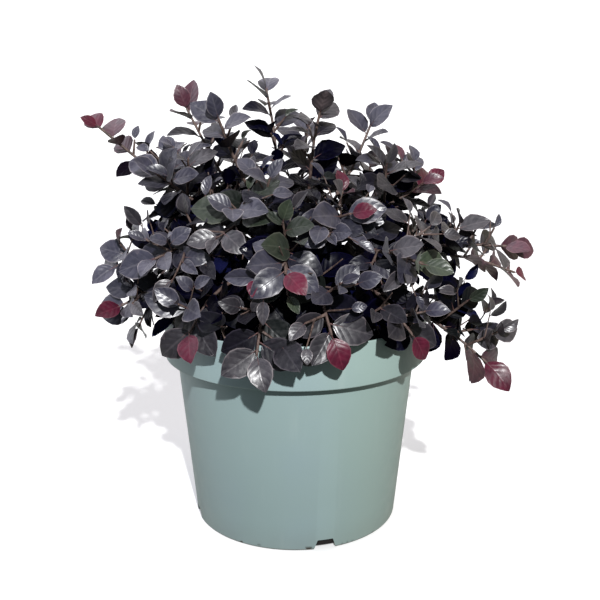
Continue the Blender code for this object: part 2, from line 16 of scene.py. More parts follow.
import bmesh
import bpy
import numpy as np
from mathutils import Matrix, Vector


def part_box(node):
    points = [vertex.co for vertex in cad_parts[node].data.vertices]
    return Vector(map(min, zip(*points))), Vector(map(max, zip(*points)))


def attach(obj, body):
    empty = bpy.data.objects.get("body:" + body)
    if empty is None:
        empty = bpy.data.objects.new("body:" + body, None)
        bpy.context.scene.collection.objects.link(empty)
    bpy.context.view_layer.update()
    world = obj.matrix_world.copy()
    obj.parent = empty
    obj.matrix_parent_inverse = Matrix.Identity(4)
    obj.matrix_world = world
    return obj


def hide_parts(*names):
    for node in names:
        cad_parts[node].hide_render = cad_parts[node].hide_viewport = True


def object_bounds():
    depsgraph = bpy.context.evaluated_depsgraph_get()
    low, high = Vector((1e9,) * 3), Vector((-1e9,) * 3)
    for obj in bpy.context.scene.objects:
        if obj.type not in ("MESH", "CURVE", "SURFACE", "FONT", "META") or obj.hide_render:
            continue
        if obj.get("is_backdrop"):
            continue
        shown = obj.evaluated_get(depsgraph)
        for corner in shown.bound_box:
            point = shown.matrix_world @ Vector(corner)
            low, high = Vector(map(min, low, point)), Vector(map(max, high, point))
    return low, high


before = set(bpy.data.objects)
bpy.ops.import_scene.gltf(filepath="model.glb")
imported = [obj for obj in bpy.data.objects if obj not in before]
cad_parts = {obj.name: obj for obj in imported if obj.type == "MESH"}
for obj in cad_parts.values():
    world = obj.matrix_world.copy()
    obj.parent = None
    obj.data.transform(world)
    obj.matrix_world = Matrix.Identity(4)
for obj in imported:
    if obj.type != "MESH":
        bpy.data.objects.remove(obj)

log = logging.getLogger("fringe_flower_shrub")

BODY = "root"
UP = np.array([0.0, 0.0, 1.0])
# The gap between solids that would touch
GAP = 0.0003
# A shoot counts as upright where the level part of its heading is shorter than this
UPRIGHT_BELOW = 0.15
# The numbers that stir a lattice corner's place into 16 random bits
HASH_STEPS = np.array([73856093, 19349663, 83492791])
HASH_SEED_STEP = 7919
HASH_FACTOR = 1274126177
HASH_SHIFTS = (13, 8)
HASH_MASK = 0xFFFF
# The cells of bark's ridges and of their fine grain, and the factor that draws both out along a limb
RIDGE_CELLS = (0.0021, 0.0009)
RIDGE_STRETCH = 0.22
# The angles in degrees from which the edges of bark and of leaves stay sharp
BARK_SHARP_FROM = 60.0
LEAF_SHARP_FROM = 62.0
# Short names for types
Array = np.ndarray
Chance = np.random.Generator
Material = bpy.types.Material
Piece = bpy.types.Object
Socket = bpy.types.NodeSocket
Span = tuple[float, float]
Triple = tuple[float, float, float]
Colour = Triple
Row = tuple[float, ...]


# Vectors and rows of points


def unit(vectors: Array) -> Array:
    """The vectors at length 1, along the last axis."""
    return vectors / np.linalg.norm(vectors, axis=-1, keepdims=True)


def azimuth_heading(degrees: float) -> Array:
    """The level unit vector at an azimuth, with 0 on the right and 270 in front."""
    angle = math.radians(degrees)
    return np.array([math.cos(angle), math.sin(angle), 0.0])


def along(points: Array, share: float) -> Array:
    """The point at a share of the way along a row of evenly spaced points.

    Args:
        points: the row.
        share: from 0 at its start to 1 at its end.

    Returns:
        The point, on the straight line between its two neighbours in the row.
    """
    place = np.clip(share, 0.0, 1.0) * (len(points) - 1)
    low = min(int(place), len(points) - 2)
    return points[low] + (points[low + 1] - points[low]) * (place - low)


def resampled(points: Array, first: float, last: float, count: int) -> Array:
    """Evenly spaced points along a stretch of a row of points."""
    return np.array([along(points, share) for share in np.linspace(first, last, count)])


def heading_along(points: Array, share: float, step: float = 0.03) -> Array:
    """The unit direction of a row of points at a share of the way along it."""
    return unit(along(points, share + step) - along(points, share - step))


def row_length(points: Array) -> float:
    """The length of a row of points."""
    return float(np.linalg.norm(np.diff(points, axis=0), axis=1).sum())


def gaps_between(points: Array, others: Array) -> Array:
    """Each point's distance to the nearest of the others."""
    return np.linalg.norm(points[:, None] - others[None], axis=2).min(axis=1)


def cross_frame(heading: Array, fallback: Array) -> tuple[Array, Array]:
    """The sideways and the upper unit vectors of a shoot.

    Args:
        heading: the shoot's unit direction.
        fallback: the level vector that stands for its heading where it is upright.

    Returns:
        The sideways vector and the upper vector, square to each other and to the heading.
    """
    level = np.array([heading[0], heading[1], 0.0])
    size = np.linalg.norm(level)
    level = level / size if size > UPRIGHT_BELOW else fallback
    upper = unit(UP * size - level * heading[2])
    return unit(np.cross(heading, upper)), upper


def diverging(heading: Array, fallback: Array, angle: float, roll: float) -> Array:
    """A direction that leaves a shoot.

    Args:
        heading: the shoot's unit direction.
        fallback: the level vector that stands for its heading where it is upright.
        angle: how far the direction turns from the heading.
        roll: how far it is rolled round the shoot from its sideways vector.

    Returns:
        The unit direction.
    """
    side, upper = cross_frame(heading, fallback)
    away = side * math.cos(roll) + upper * math.sin(roll)
    return unit(heading * math.cos(angle) + away * math.sin(angle))


def lattice_noise(points: Array, cell: float, seed: int) -> Array:
    """Smooth random heights: random values at the corners of a cubic lattice, eased between them.

    Args:
        points: places, with their coordinates on the last axis.
        cell: the lattice's spacing.
        seed: a number that picks the pattern.

    Returns:
        A height from -1 to 1 for each place.
    """
    place = points / cell
    low = np.floor(place).astype(np.int64)
    ease = place - low
    ease = ease * ease * (3 - 2 * ease)
    total = np.zeros(points.shape[:-1])
    for corner in itertools.product((0, 1), repeat=3):
        key = (low + np.array(corner)) @ HASH_STEPS + seed * HASH_SEED_STEP
        key = (key ^ (key >> HASH_SHIFTS[0])) * HASH_FACTOR
        value = ((key >> HASH_SHIFTS[1]) & HASH_MASK) / (HASH_MASK / 2) - 1.0
        total += value * np.where(corner, ease, 1 - ease).prod(axis=-1)
    return total


# Meshes


def grid_faces(rows: int, columns: int, closed: bool) -> Array:
    """The quads of a grid of points, row by row.

    Args:
        rows: how many rows the grid has.
        columns: how many points a row has.
        closed: whether the last column joins the first.

    Returns:
        Rows of four point numbers.
    """
    across = columns if closed else columns - 1
    row, column = np.meshgrid(np.arange(rows - 1), np.arange(across), indexing="ij")
    after = (column + 1) % columns
    corners = [row * columns + column, (row + 1) * columns + column, (row + 1) * columns + after]
    return np.stack([*corners, row * columns + after], axis=-1).reshape(-1, 4)


def fan_faces(centre: int, ring: Array) -> Array:
    """The triangles from one point to a closed ring of points, taken in the ring's order."""
    return np.stack([np.full(len(ring), centre), ring, np.roll(ring, -1)], axis=-1)


def repeated_faces(faces: Array, copies: int, stride: int) -> Array:
    """The faces of many copies of one shape, whose points follow each other copy by copy."""
    shifts = np.arange(copies)[:, None, None] * stride
    return (faces[None] + shifts).reshape(-1, faces.shape[1])


def linked(name: str, data: bpy.types.ID) -> Piece:
    """Makes an object of a mesh, a light or a camera, and puts it in the scene.

    Args:
        name: its name.
        data: the mesh, light or camera.

    Returns:
        The object.
    """
    made = bpy.data.objects.new(name, data)
    bpy.context.scene.collection.objects.link(made)
    return made


@dataclass
class Surface:
    """Points, faces and values at the points, as arrays that go into a mesh whole."""

    points: Array
    faces: list[Array]
    uv: Array | None = None
    values: dict[str, Array] = field(default_factory=dict)

    def mesh_object(self, name: str, finish: Material, sharp_from: float = 40.0) -> Piece:
        """Makes the surface an object at the origin, shaded smooth except at its sharp edges.

        Args:
            name: the piece's name.
            finish: its material.
            sharp_from: the angle in degrees from which an edge stays sharp.

        Returns:
            The new object.
        """
        mesh = bpy.data.meshes.new(name)
        corners = np.concatenate([group.ravel() for group in self.faces])
        sizes = np.concatenate([np.full(len(group), group.shape[1]) for group in self.faces])
        mesh.vertices.add(len(self.points))
        mesh.vertices.foreach_set("co", self.points.astype(np.float32).ravel())
        mesh.loops.add(len(corners))
        mesh.loops.foreach_set("vertex_index", corners.astype(np.int32))
        mesh.polygons.add(len(sizes))
        mesh.polygons.foreach_set("loop_start", (np.cumsum(sizes) - sizes).astype(np.int32))
        mesh.update(calc_edges=True)
        if self.uv is not None:
            layer = mesh.uv_layers.new(name="blade")
            layer.data.foreach_set("uv", self.uv[corners].astype(np.float32).ravel())
        for key, value in self.values.items():
            mesh.attributes.new(key, "FLOAT", "POINT").data.foreach_set("value", value.astype(np.float32))
        mesh.shade_smooth()
        mesh.set_sharp_from_angle(angle=math.radians(sharp_from))
        mesh.materials.append(finish)
        return linked(name, mesh)


def rings(radii: Array, heights: Array, steps: int) -> Array:
    """The points (r cos a, r sin a, z) of level rings round Z, ring by ring.

    Args:
        radii: each ring's radius r.
        heights: each ring's height z.
        steps: how many points go round, at even angles a.

    Returns:
        The points, of shape (rings times steps, 3).
    """
    angle = np.linspace(0.0, math.tau, steps, endpoint=False)
    circle = np.stack([np.cos(angle), np.sin(angle)], axis=-1)
    level = radii[:, None, None] * circle[None]
    upright = np.broadcast_to(heights[:, None, None], (len(radii), steps, 1))
    return np.concatenate([level, upright], axis=-1).reshape(-1, 3)


def revolved(profile: Array, steps: int) -> Surface:
    """A closed solid of revolution about Z.

    Each profile point (r, z) becomes one of the rings. The profile runs up the outside and back down the
    inside, and its two ends lie on the axis.

    Args:
        profile: rows of (radius, height).
        steps: how many copies of the profile go round.

    Returns:
        The surface, with one point at each pole.
    """
    inner = profile[1:-1]
    points = rings(inner[:, 0], inner[:, 1], steps)
    poles = np.array([[0.0, 0.0, profile[0, 1]], [0.0, 0.0, profile[-1, 1]]])
    first, last = np.arange(steps), np.arange(steps) + (len(inner) - 1) * steps
    count = len(points)
    quads = grid_faces(len(inner), steps, closed=True)[:, ::-1]
    fans = [fan_faces(count, first[::-1]), fan_faces(count + 1, last)]
    return Surface(np.vstack([points, poles]), [quads, np.vstack(fans)])


def bark_ridges(across: Array, paths: Array, seed: int) -> Array:
    """The ridges of bark on tubes: 1 - 2 |coarse noise| + fine noise / 2, both stretched along the tubes.

    Args:
        across: each point's place in the plane of its ring, of shape (tubes, points, sides, 2).
        paths: the tubes' middles, of shape (tubes, points, 3).
        seed: picks the ridges.

    Returns:
        Their heights, of shape (tubes, points, sides).
    """
    copies = len(paths)
    run = np.linalg.norm(np.diff(paths, axis=1), axis=2).cumsum(axis=1)
    run = np.concatenate([np.zeros((copies, 1)), run], axis=1)[:, :, None]
    run = np.broadcast_to(run, across.shape[:-1])[..., None] * RIDGE_STRETCH
    place = np.concatenate([across, run + np.arange(copies)[:, None, None, None]], axis=-1)
    coarse, fine = (lattice_noise(place, cell, seed + index) for index, cell in enumerate(RIDGE_CELLS))
    return 1 - 2 * np.abs(coarse) + 0.5 * fine


def tubes(paths: Array, radii: Array, sides: int, relief: float = 0.0, seed: int = 1) -> Surface:
    """Closed tapering tubes along paths, all with as many points.

    The point at a path point p and an angle a is p + r (s cos a + u sin a), where s and u are square to
    the path. Relief makes the radius r larger by bark's ridges.

    Args:
        paths: points of shape (tubes, points, 3).
        radii: of shape (tubes, points).
        sides: how many points go round.
        relief: the height of the bark's ridges as a share of the radius.
        seed: picks the ridges.

    Returns:
        One surface that holds all the tubes.
    """
    copies, count = paths.shape[:2]
    tangents = unit(np.gradient(paths, axis=1))
    overall = unit(paths[:, -1] - paths[:, 0])
    least = np.eye(3)[np.abs(overall).argmin(axis=1)]
    side = least[:, None] - tangents * (least[:, None] * tangents).sum(axis=-1, keepdims=True)
    side = unit(side)
    upper = np.cross(tangents, side)
    angle = np.linspace(0.0, math.tau, sides, endpoint=False)[None, None, :, None]
    out = side[:, :, None] * np.cos(angle) + upper[:, :, None] * np.sin(angle)
    reach = np.broadcast_to(radii[:, :, None, None], (copies, count, sides, 1))
    if relief:
        offsets = out * reach
        across = np.stack([(offsets * axis[:, :, None]).sum(-1) for axis in (side, upper)], axis=-1)
        reach = reach * (1 + relief * bark_ridges(across, paths, seed)[..., None])
    points = np.concatenate(
        [(paths[:, :, None] + out * reach).reshape(copies, -1, 3), paths[:, [0, -1]]], axis=1
    )
    stride = count * sides + 2
    first, last = np.arange(sides), np.arange(sides) + (count - 1) * sides
    quads = grid_faces(count, sides, closed=True)[:, ::-1]
    caps = np.vstack([fan_faces(stride - 2, first[::-1]), fan_faces(stride - 1, last)])
    faces = [repeated_faces(quads, copies, stride), repeated_faces(caps, copies, stride)]
    return Surface(points.reshape(-1, 3), faces)


def rounded_corner(corner: tuple, before: tuple, after: tuple, radius: float, steps: int) -> list[Array]:
    """The points of an arc that rounds a corner of an outline.

    The arc's middle lies radius / sin(half the corner's angle) along the line that halves the angle.

    Args:
        corner: the corner.
        before: the outline's point before it, on whose side the arc starts.
        after: the point after it.
        radius: the arc's radius.
        steps: how many steps the arc is cut into.

    Returns:
        The points.
    """
    corner, before, after = (np.array(point) for point in (corner, before, after))
    back, ahead = unit(before - corner), unit(after - corner)
    half_angle = math.acos(float(np.clip(back @ ahead, -1, 1))) / 2
    cut = radius / math.tan(half_angle)
    middle = corner + unit(back + ahead) * radius / math.sin(half_angle)
    first, last = corner + back * cut - middle, corner + ahead * cut - middle
    turn = math.pi - 2 * half_angle
    shares = [index / steps for index in range(steps + 1)]
    return [
        middle + (first * math.sin(turn * (1 - share)) + last * math.sin(turn * share)) / math.sin(turn)
        for share in shares
    ]


def rounded_outline(points: list[tuple], rounds: dict[int, float], steps: int = 5) -> Array:
    """An outline with some of its corners rounded.

    Args:
        points: the outline's corners.
        rounds: the radii by the number of the corner. The other corners stay sharp.
        steps: how many steps an arc is cut into.

    Returns:
        The outline's points.
    """
    outline = []
    for index, point in enumerate(points):
        if index in rounds:
            after = points[(index + 1) % len(points)]
            outline += rounded_corner(point, points[index - 1], after, rounds[index], steps)
        else:
            outline.append(np.array(point))
    return np.array(outline)


def place_piece(piece: Piece, nodes: list[str]) -> None:
    """Rides a finished piece on the plant's one body, and tells what it replaces.

    Args:
        piece: the piece.
        nodes: the CAD nodes that it replaces.
    """
    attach(piece, BODY)
    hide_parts(*nodes)
    log.info("%s: %d faces, for %d nodes", piece.name, len(piece.data.polygons), len(nodes))


# Finishes


@dataclass(frozen=True)
class Ramp:
    """Eases from low to high as a value goes from start to end."""

    start: float
    end: float
    low: float = 0.0
    high: float = 1.0


@dataclass(frozen=True)
class Patches:
    """Patches that a ramp picks out of noise, whose grain is its scale and its detail."""

    grain: Span
    ramp: Ramp


@dataclass(frozen=True)
class Relief:
    """A relief of noise: its grain, its depth in metres and its strength."""

    grain: Span
    depth: float
    strength: float = 1.0


class NodeGraph:
    """A node tree, built with short calls. An input may be a number, a colour or a socket."""

    def __init__(self, tree: bpy.types.NodeTree, space: str) -> None:
        """Starts on a tree that has only its default nodes.

        Args:
            tree: the tree.
            space: the coordinates that its noises lie in.
        """
        self.nodes = tree.nodes
        self.links = tree.links
        self.coordinates = self.add("ShaderNodeTexCoord", {}).outputs[space]

    def feed(self, socket: Socket, value: object) -> None:
        """Links a socket to an input, or sets the input's own value.

        Args:
            socket: the socket.
            value: another socket, a number or a colour.
        """
        if isinstance(value, Socket):
            self.links.new(value, socket)
        elif isinstance(value, tuple) and len(value) == 3 and socket.type == "RGBA":
            socket.default_value = (*value, 1.0)
        else:
            socket.default_value = value

    def add(self, kind: str, inputs: dict, **settings: object) -> bpy.types.Node:
        """Adds a node.

        Args:
            kind: its type.
            inputs: what feeds its inputs, by their names or numbers.
            settings: its settings by name.

        Returns:
            The node.
        """
        node = self.nodes.new(kind)
        for name, value in settings.items():
            setattr(node, name, value)
        for key, value in inputs.items():
            self.feed(node.inputs[key], value)
        return node

    def math(self, operation: str, first: object, second: object = 0.0) -> Socket:
        """One sum of two values."""
        return self.add("ShaderNodeMath", {0: first, 1: second}, operation=operation).outputs[0]

    def times(self, *values: object) -> Socket:
        """The product of all the values."""
        return functools.reduce(lambda first, second: self.math("MULTIPLY", first, second), values)

    def off_middle(self, value: object) -> Socket:
        """How far a value lies from a half, on either side."""
        return self.math("ABSOLUTE", self.math("SUBTRACT", value, 0.5))

    def ramp(self, value: object, ramp: Ramp) -> Socket:
        """A ramp on a value.

        Args:
            value: the value.
            ramp: where it starts and ends, and what it eases between.

        Returns:
            The eased value.
        """
        names = ("From Min", "From Max", "To Min", "To Max")
        inputs = dict(zip(names, (ramp.start, ramp.end, ramp.low, ramp.high)))
        inputs["Value"] = value
        return self.add("ShaderNodeMapRange", inputs, interpolation_type="SMOOTHSTEP").outputs["Result"]

    def noise(self, grain: Span, vector: object = None) -> Socket:
        """Noise from 0 to 1 of a scale and a detail, on the tree's coordinates or on another vector."""
        inputs = {"Vector": vector or self.coordinates, "Scale": grain[0], "Detail": grain[1]}
        return self.add("ShaderNodeTexNoise", inputs).outputs["Fac"]

    def patches(self, patches: Patches, vector: object = None) -> Socket:
        """The share of patches at each place."""
        return self.ramp(self.noise(patches.grain, vector), patches.ramp)

    def stretched(self, scale: Triple) -> Socket:
        """The tree's coordinates, scaled apart along each axis."""
        return self.add("ShaderNodeMapping", {"Vector": self.coordinates, "Scale": scale}).outputs["Vector"]

    def mix(self, share: object, first: object, second: object, blend: str = "MIX") -> Socket:
        """A mix of two colours."""
        inputs = {0: share, 6: first, 7: second}
        return self.add("ShaderNodeMix", inputs, data_type="RGBA", blend_type=blend).outputs[2]

    def shaded(self, colour: object, levels: tuple) -> Socket:
        """A colour whose red, green and blue are each multiplied by a level."""
        shade = self.add("ShaderNodeCombineColor", dict(enumerate(levels))).outputs[0]
        return self.mix(1.0, colour, shade, "MULTIPLY")

    def attribute(self, name: str) -> Socket:
        """A value that the mesh holds at its points."""
        return self.add("ShaderNodeAttribute", {}, attribute_name=name).outputs["Fac"]

    def bump(self, height: object, depth: float, strength: float, after: object = None) -> Socket:
        """A normal that stands for a relief.

        Args:
            height: the relief's height, from 0 to 1.
            depth: how deep it is, in metres.
            strength: how much of it shows.
            after: the normal that it lies on, if it isn't the surface's own.

        Returns:
            The normal.
        """
        inputs = {"Height": height, "Distance": depth, "Strength": strength}
        if after is not None:
            inputs["Normal"] = after
        return self.add("ShaderNodeBump", inputs).outputs["Normal"]

    def relief(self, relief: Relief, after: object = None) -> Socket:
        """The normal of a relief of noise, on top of another normal."""
        return self.bump(self.noise(relief.grain), relief.depth, relief.strength, after)


class MaterialGraph(NodeGraph):
    """The node tree of a new material with one Principled shader, in Object coordinates."""

    def __init__(self, name: str) -> None:
        """Starts a material with only its output and Principled nodes.

        Args:
            name: the material's name.
        """
        self.material = bpy.data.materials.new(name)
        self.material.use_nodes = True
        super().__init__(self.material.node_tree, "Object")

    def finish(self, inputs: dict) -> Material:
        """Feeds the shader's inputs.

        Args:
            inputs: what feeds them, by name.

        Returns:
            The finished material.
        """
        for key, value in inputs.items():
            self.feed(self.nodes["Principled BSDF"].inputs[key], value)
        return self.material


@dataclass(frozen=True)
class PlasticFinish:
    """Moulded satin plastic with cloudy tints, pale specks, fine scuffs and soil along the foot.

    Its cool tint is painted skylight, kept mostly to the left side, and its colour is painted darker
    towards the foot as painted shade.
    """

    name: str = "sage_plastic"
    base: Colour = (0.350, 0.468, 0.432)
    cool_tint_and_painted_skylight: Colour = (0.342, 0.455, 0.468)
    speck: Colour = (0.62, 0.70, 0.67)
    soil: Colour = (0.030, 0.024, 0.018)
    worn: Colour = (0.150, 0.125, 0.095)
    dust: Colour = (0.20, 0.19, 0.16)
    clouds: Patches = Patches((9.0, 4.0), Ramp(0.40, 0.62, 0.7, 1.0))
    # Painted skylight: the cloudy cool tint is kept mostly to the left side, where bluer light falls
    painted_skylight_side: Ramp = Ramp(-0.005, 0.075, 1.0, 0.1)
    streaks: Patches = Patches((60.0, 5.0), Ramp(0.56, 0.78, 0.0, 0.10))
    streak_stretch: Triple = (1.0, 1.0, 0.12)
    speck_cells: float = 26.0
    speck_size: Ramp = Ramp(0.0143, 0.0374, 1.0, 0.0)
    speck_from: float = 0.72
    speck_share: float = 0.75
    foot_wear: Ramp = Ramp(0.0006, 0.0022, 0.70, 0.0)
    soil_rise: Ramp = Ramp(0.00208, 0.0052, 1.0, 0.0)
    smears: Patches = Patches((75.0, 4.0), Ramp(0.58, 0.66))
    dust_rise: Ramp = Ramp(0.0, 0.03, 0.30, 0.0)
    dust_grain: Span = (40.0, 5.0)
    # Painted shade: the whole colour darkens towards the foot
    foot_shade: Ramp = Ramp(0.0, 0.19, 0.78, 1.0)
    roughness: Patches = Patches((70.0, 5.0), Ramp(0.3, 0.7, 0.31, 0.44))
    skin: Relief = Relief((260.0, 3.0), 0.00010, 0.5)
    waves: Relief = Relief((14.0, 2.0), 0.0011, 0.35)
    ior: float = 1.49

    def specks(self, graph: MaterialGraph) -> Socket:
        """Where specks lie: round the middles of a few of the cells of a Voronoi pattern.

        Args:
            graph: the material's nodes.

        Returns:
            Their share at each place.
        """
        inputs = {"Vector": graph.coordinates, "Scale": self.speck_cells, "Randomness": 1.0}
        cells = graph.add("ShaderNodeTexVoronoi", inputs).outputs
        draw = graph.add("ShaderNodeSeparateColor", {0: cells["Color"]}).outputs[0]
        few = graph.math("GREATER_THAN", draw, self.speck_from)
        return graph.times(graph.ramp(cells["Distance"], self.speck_size), few, self.speck_share)

    def material(self) -> Material:
        """Makes the material.

        Returns:
            The material.
        """
        graph = MaterialGraph(self.name)
        place = graph.add("ShaderNodeSeparateXYZ", {0: graph.coordinates}).outputs
        height = place["Z"]
        # The cloudy cool tint, painted mostly on the left side as painted skylight
        cool_tint_and_painted_skylight = graph.times(graph.patches(self.clouds), graph.ramp(place["X"], self.painted_skylight_side))
        streaks = graph.patches(self.streaks, graph.stretched(self.streak_stretch))
        soil = graph.times(graph.ramp(height, self.soil_rise), graph.patches(self.smears))
        dust = graph.times(graph.ramp(height, self.dust_rise), graph.noise(self.dust_grain))
        layers = [
            (cool_tint_and_painted_skylight, self.cool_tint_and_painted_skylight),
            (streaks, self.speck),
            (self.specks(graph), self.speck),
            (graph.ramp(height, self.foot_wear), self.worn),
            (soil, self.soil),
            (dust, self.dust),
        ]
        colour = self.base
        for share, layer in layers:
            colour = graph.mix(share, colour, layer)
        # Painted shade: the colour is darkened towards the foot
        painted_foot_shade = graph.ramp(height, self.foot_shade)
        inputs = {
            "Base Color": graph.shaded(colour, (painted_foot_shade, painted_foot_shade, painted_foot_shade)),
            "Roughness": graph.patches(self.roughness),
            "Normal": graph.relief(self.waves, graph.relief(self.skin)),
            "IOR": self.ior,
        }
        return graph.finish(inputs)


@dataclass(frozen=True)
class MixFinish:
    """Dark moist potting mix with paler fibres and grains, painted almost black down in the pot as painted
    shade.
    """

    name: str = "potting_mix"
    dark: Colour = (0.012, 0.009, 0.007)
    brown: Colour = (0.055, 0.034, 0.020)
    grain: Colour = (0.16, 0.12, 0.08)
    painted_deep_shade: Colour = (0.003, 0.002, 0.002)
    fibres: Patches = Patches((240.0, 6.0), Ramp(0.42, 0.66))
    grains: Patches = Patches((900.0, 3.0), Ramp(0.66, 0.74, 0.0, 0.8))
    # Painted shade: below this height the mix is painted almost black
    painted_deep_shade_rise: Ramp = Ramp(0.02, 0.10, 0.92, 0.0)
    roughness: Patches = Patches((120.0, 3.0), Ramp(0.35, 0.65, 0.80, 0.97))
    crumbs: Relief = Relief((700.0, 6.0), 0.0011)

    def material(self) -> Material:
        """Makes the material.

        Returns:
            The material.
        """
        graph = MaterialGraph(self.name)
        colour = graph.mix(graph.patches(self.fibres), self.dark, self.brown)
        colour = graph.mix(graph.patches(self.grains), colour, self.grain)
        height = graph.add("ShaderNodeSeparateXYZ", {0: graph.coordinates}).outputs["Z"]
        # Painted shade: almost black down in the pot
        colour = graph.mix(graph.ramp(height, self.painted_deep_shade_rise), colour, self.painted_deep_shade)
        rough, normal = graph.patches(self.roughness), graph.relief(self.crumbs)
        return graph.finish({"Base Color": colour, "Roughness": rough, "Normal": normal})


@dataclass(frozen=True)
class BarkFinish:
    """Bark: two browns in fissures that run with the limb, and pale flecks."""

    name: str
    dark: Colour
    light: Colour
    fleck: Colour
    rough: float = 0.85
    relief: float = 0.0006
    polish: float = 0.12
    fissures: Span = (420.0, 6.0)
    stretch: Triple = (1.0, 1.0, 0.35)
    ridges: Ramp = Ramp(0.36, 0.66)
    patches: Patches = Patches((70.0, 3.0), Ramp(0.40, 0.70, 0.0, 0.55))
    flecks: Patches = Patches((1300.0, 2.0), Ramp(0.68, 0.76, 0.0, 0.7))

    def material(self) -> Material:
        """Makes the material.

        Returns:
            The material.
        """
        graph = MaterialGraph(self.name)
        grain = graph.noise(self.fissures, graph.stretched(self.stretch))
        colour = graph.mix(graph.ramp(grain, self.ridges), self.dark, self.light)
        colour = graph.mix(graph.patches(self.patches), colour, self.light)
        colour = graph.mix(graph.patches(self.flecks), colour, self.fleck)
        rough = graph.ramp(grain, Ramp(0.3, 0.7, self.rough - self.polish, self.rough))
        normal = graph.bump(grain, self.relief, 1.0)
        return graph.finish({"Base Color": colour, "Roughness": rough, "Normal": normal})


@dataclass(frozen=True)
class LeafFinish:
    """A satin leaf: mottled face, sunk rib and side veins, a thin pale edge and a duller underside.

    A leaf's painted shade level runs from -1 deep in the crown to 1 on its outside, and differs at random
    among the lit leaves. Inner leaves are painted darker, with less sheen and gloss, as painted shade, and
    their blue is darkened less.
    """

    name: str
    face: Colour
    deep: Colour
    vein: Colour
    edge: Colour
    under: Colour
    rough: float = 0.35
    sheen: float = 0.10
    # Painted shade and light: the colour's multipliers deep in the crown, for its blue there, and on its
    # outside
    inner_painted_shade: float = 0.02
    inner_painted_shade_blue: float = 0.12
    outer_painted_light: float = 1.44
    gloss: float = 0.84
    # Painted shade: the gloss of leaves deep in the crown
    painted_shade_gloss: float = 0.05
    vein_pairs: float = 4.7
    vein_slant: float = 0.34
    vein_width: Ramp = Ramp(0.02, 0.12, 1.0, 0.0)
    rib_width: Ramp = Ramp(0.02, 0.11, 1.0, 0.0)
    inside: Ramp = Ramp(0.80, 0.98, 1.0, 0.0)
    edge_width: Ramp = Ramp(0.87, 1.0, 0.0, 0.85)
    vein_share: float = 0.20
    rib_share: float = 0.55
    under_share: float = 0.85
    mottle: Patches = Patches((130.0, 4.0), Ramp(0.38, 0.64))
    vein_height: float = -0.25
    rib_height: float = -0.9
    quilting: float = 0.00011
    quilting_strength: float = 0.9
    pores: Relief = Relief((900.0, 3.0), 0.00006, 0.6)
    rough_grain: Span = (300.0, 4.0)
    smoother: float = 0.07
    rougher: float = 0.10
    sheen_roughness: float = 0.45
    # The painted shade level from which a leaf has its full sheen and gloss
    shine_to: float = 0.1

    def shaded(self, graph: MaterialGraph, colour: object, depth: object) -> Socket:
        """Paints shade on the leaves that lie deep in the crown by darkening their colour, and its blue
        less.

        Args:
            graph: the material's nodes.
            colour: the colour.
            depth: the leaf's painted shade level.

        Returns:
            The darkened colour.
        """
        tone = graph.ramp(depth, Ramp(-1.0, 1.0, self.inner_painted_shade, self.outer_painted_light))
        blue = graph.ramp(depth, Ramp(-1.0, 1.0, self.inner_painted_shade_blue, self.outer_painted_light))
        return graph.shaded(colour, (tone, tone, blue))

    def material(self) -> Material:
        """Makes the material.

        Returns:
            The material.
        """
        graph = MaterialGraph(self.name)
        place = graph.add("ShaderNodeUVMap", {}, uv_map="blade").outputs["UV"]
        parts = graph.add("ShaderNodeSeparateXYZ", {0: place}).outputs
        side = graph.times(graph.off_middle(parts["X"]), 2.0)
        rib = graph.ramp(side, self.rib_width)
        phase = graph.math("SUBTRACT", parts["Y"], graph.times(side, self.vein_slant))
        off_vein = graph.off_middle(graph.math("FRACT", graph.times(phase, self.vein_pairs)))
        inside = graph.ramp(side, self.inside)
        veins = graph.times(graph.ramp(off_vein, self.vein_width), inside)

        colour = graph.mix(graph.patches(self.mottle), self.face, self.deep)
        colour = graph.mix(graph.times(veins, self.vein_share), colour, self.vein)
        colour = graph.mix(graph.times(rib, self.rib_share), colour, self.vein)
        colour = graph.mix(graph.ramp(side, self.edge_width), colour, self.edge)
        colour = graph.mix(graph.times(graph.attribute("under"), self.under_share), colour, self.under)
        # The leaf's painted shade level, from -1 deep in the crown to 1 on its outside
        depth = graph.attribute("tone")

        sunk = graph.math("ADD", graph.times(veins, self.vein_height), graph.times(rib, self.rib_height))
        swell = graph.times(graph.ramp(off_vein, Ramp(0.0, 0.5)), inside)
        quilted = graph.bump(graph.math("ADD", sunk, swell), self.quilting, self.quilting_strength)
        shares = Ramp(0.3, 0.7, self.rough - self.smoother, self.rough + self.rougher)
        gloss = Ramp(-1.0, self.shine_to, self.painted_shade_gloss, self.gloss)
        # Painted shade: colour, sheen and gloss fall for the leaves deep in the crown
        inputs = {
            "Base Color": self.shaded(graph, colour, depth),
            "Roughness": graph.ramp(graph.noise(self.rough_grain), shares),
            "Normal": graph.relief(self.pores, quilted),
            "Sheen Weight": graph.ramp(depth, Ramp(-1.0, self.shine_to, 0.0, self.sheen)),
            "Sheen Roughness": self.sheen_roughness,
            "Specular IOR Level": graph.ramp(depth, gloss),
        }
        return graph.finish(inputs)


@dataclass(frozen=True)
class FloorFinish:
    """A plain pale floor with the faintest grain, which glows a little so that its shadows stay light."""

    name: str = "pale_floor"
    pale: Colour = (0.88, 0.88, 0.88)
    dull: Colour = (0.85, 0.85, 0.85)
    grain: Span = (60.0, 4.0)
    glow: float = 0.20
    rough: float = 0.9

    def material(self) -> Material:
        """Makes the material.

        Returns:
            The material.
        """
        graph = MaterialGraph(self.name)
        colour = graph.mix(graph.noise(self.grain), self.pale, self.dull)
        glow = {"Emission Color": (1.0, 1.0, 1.0, 1.0), "Emission Strength": self.glow}
        return graph.finish({"Base Color": colour, "Roughness": self.rough, **glow})


# The pot and what it holds


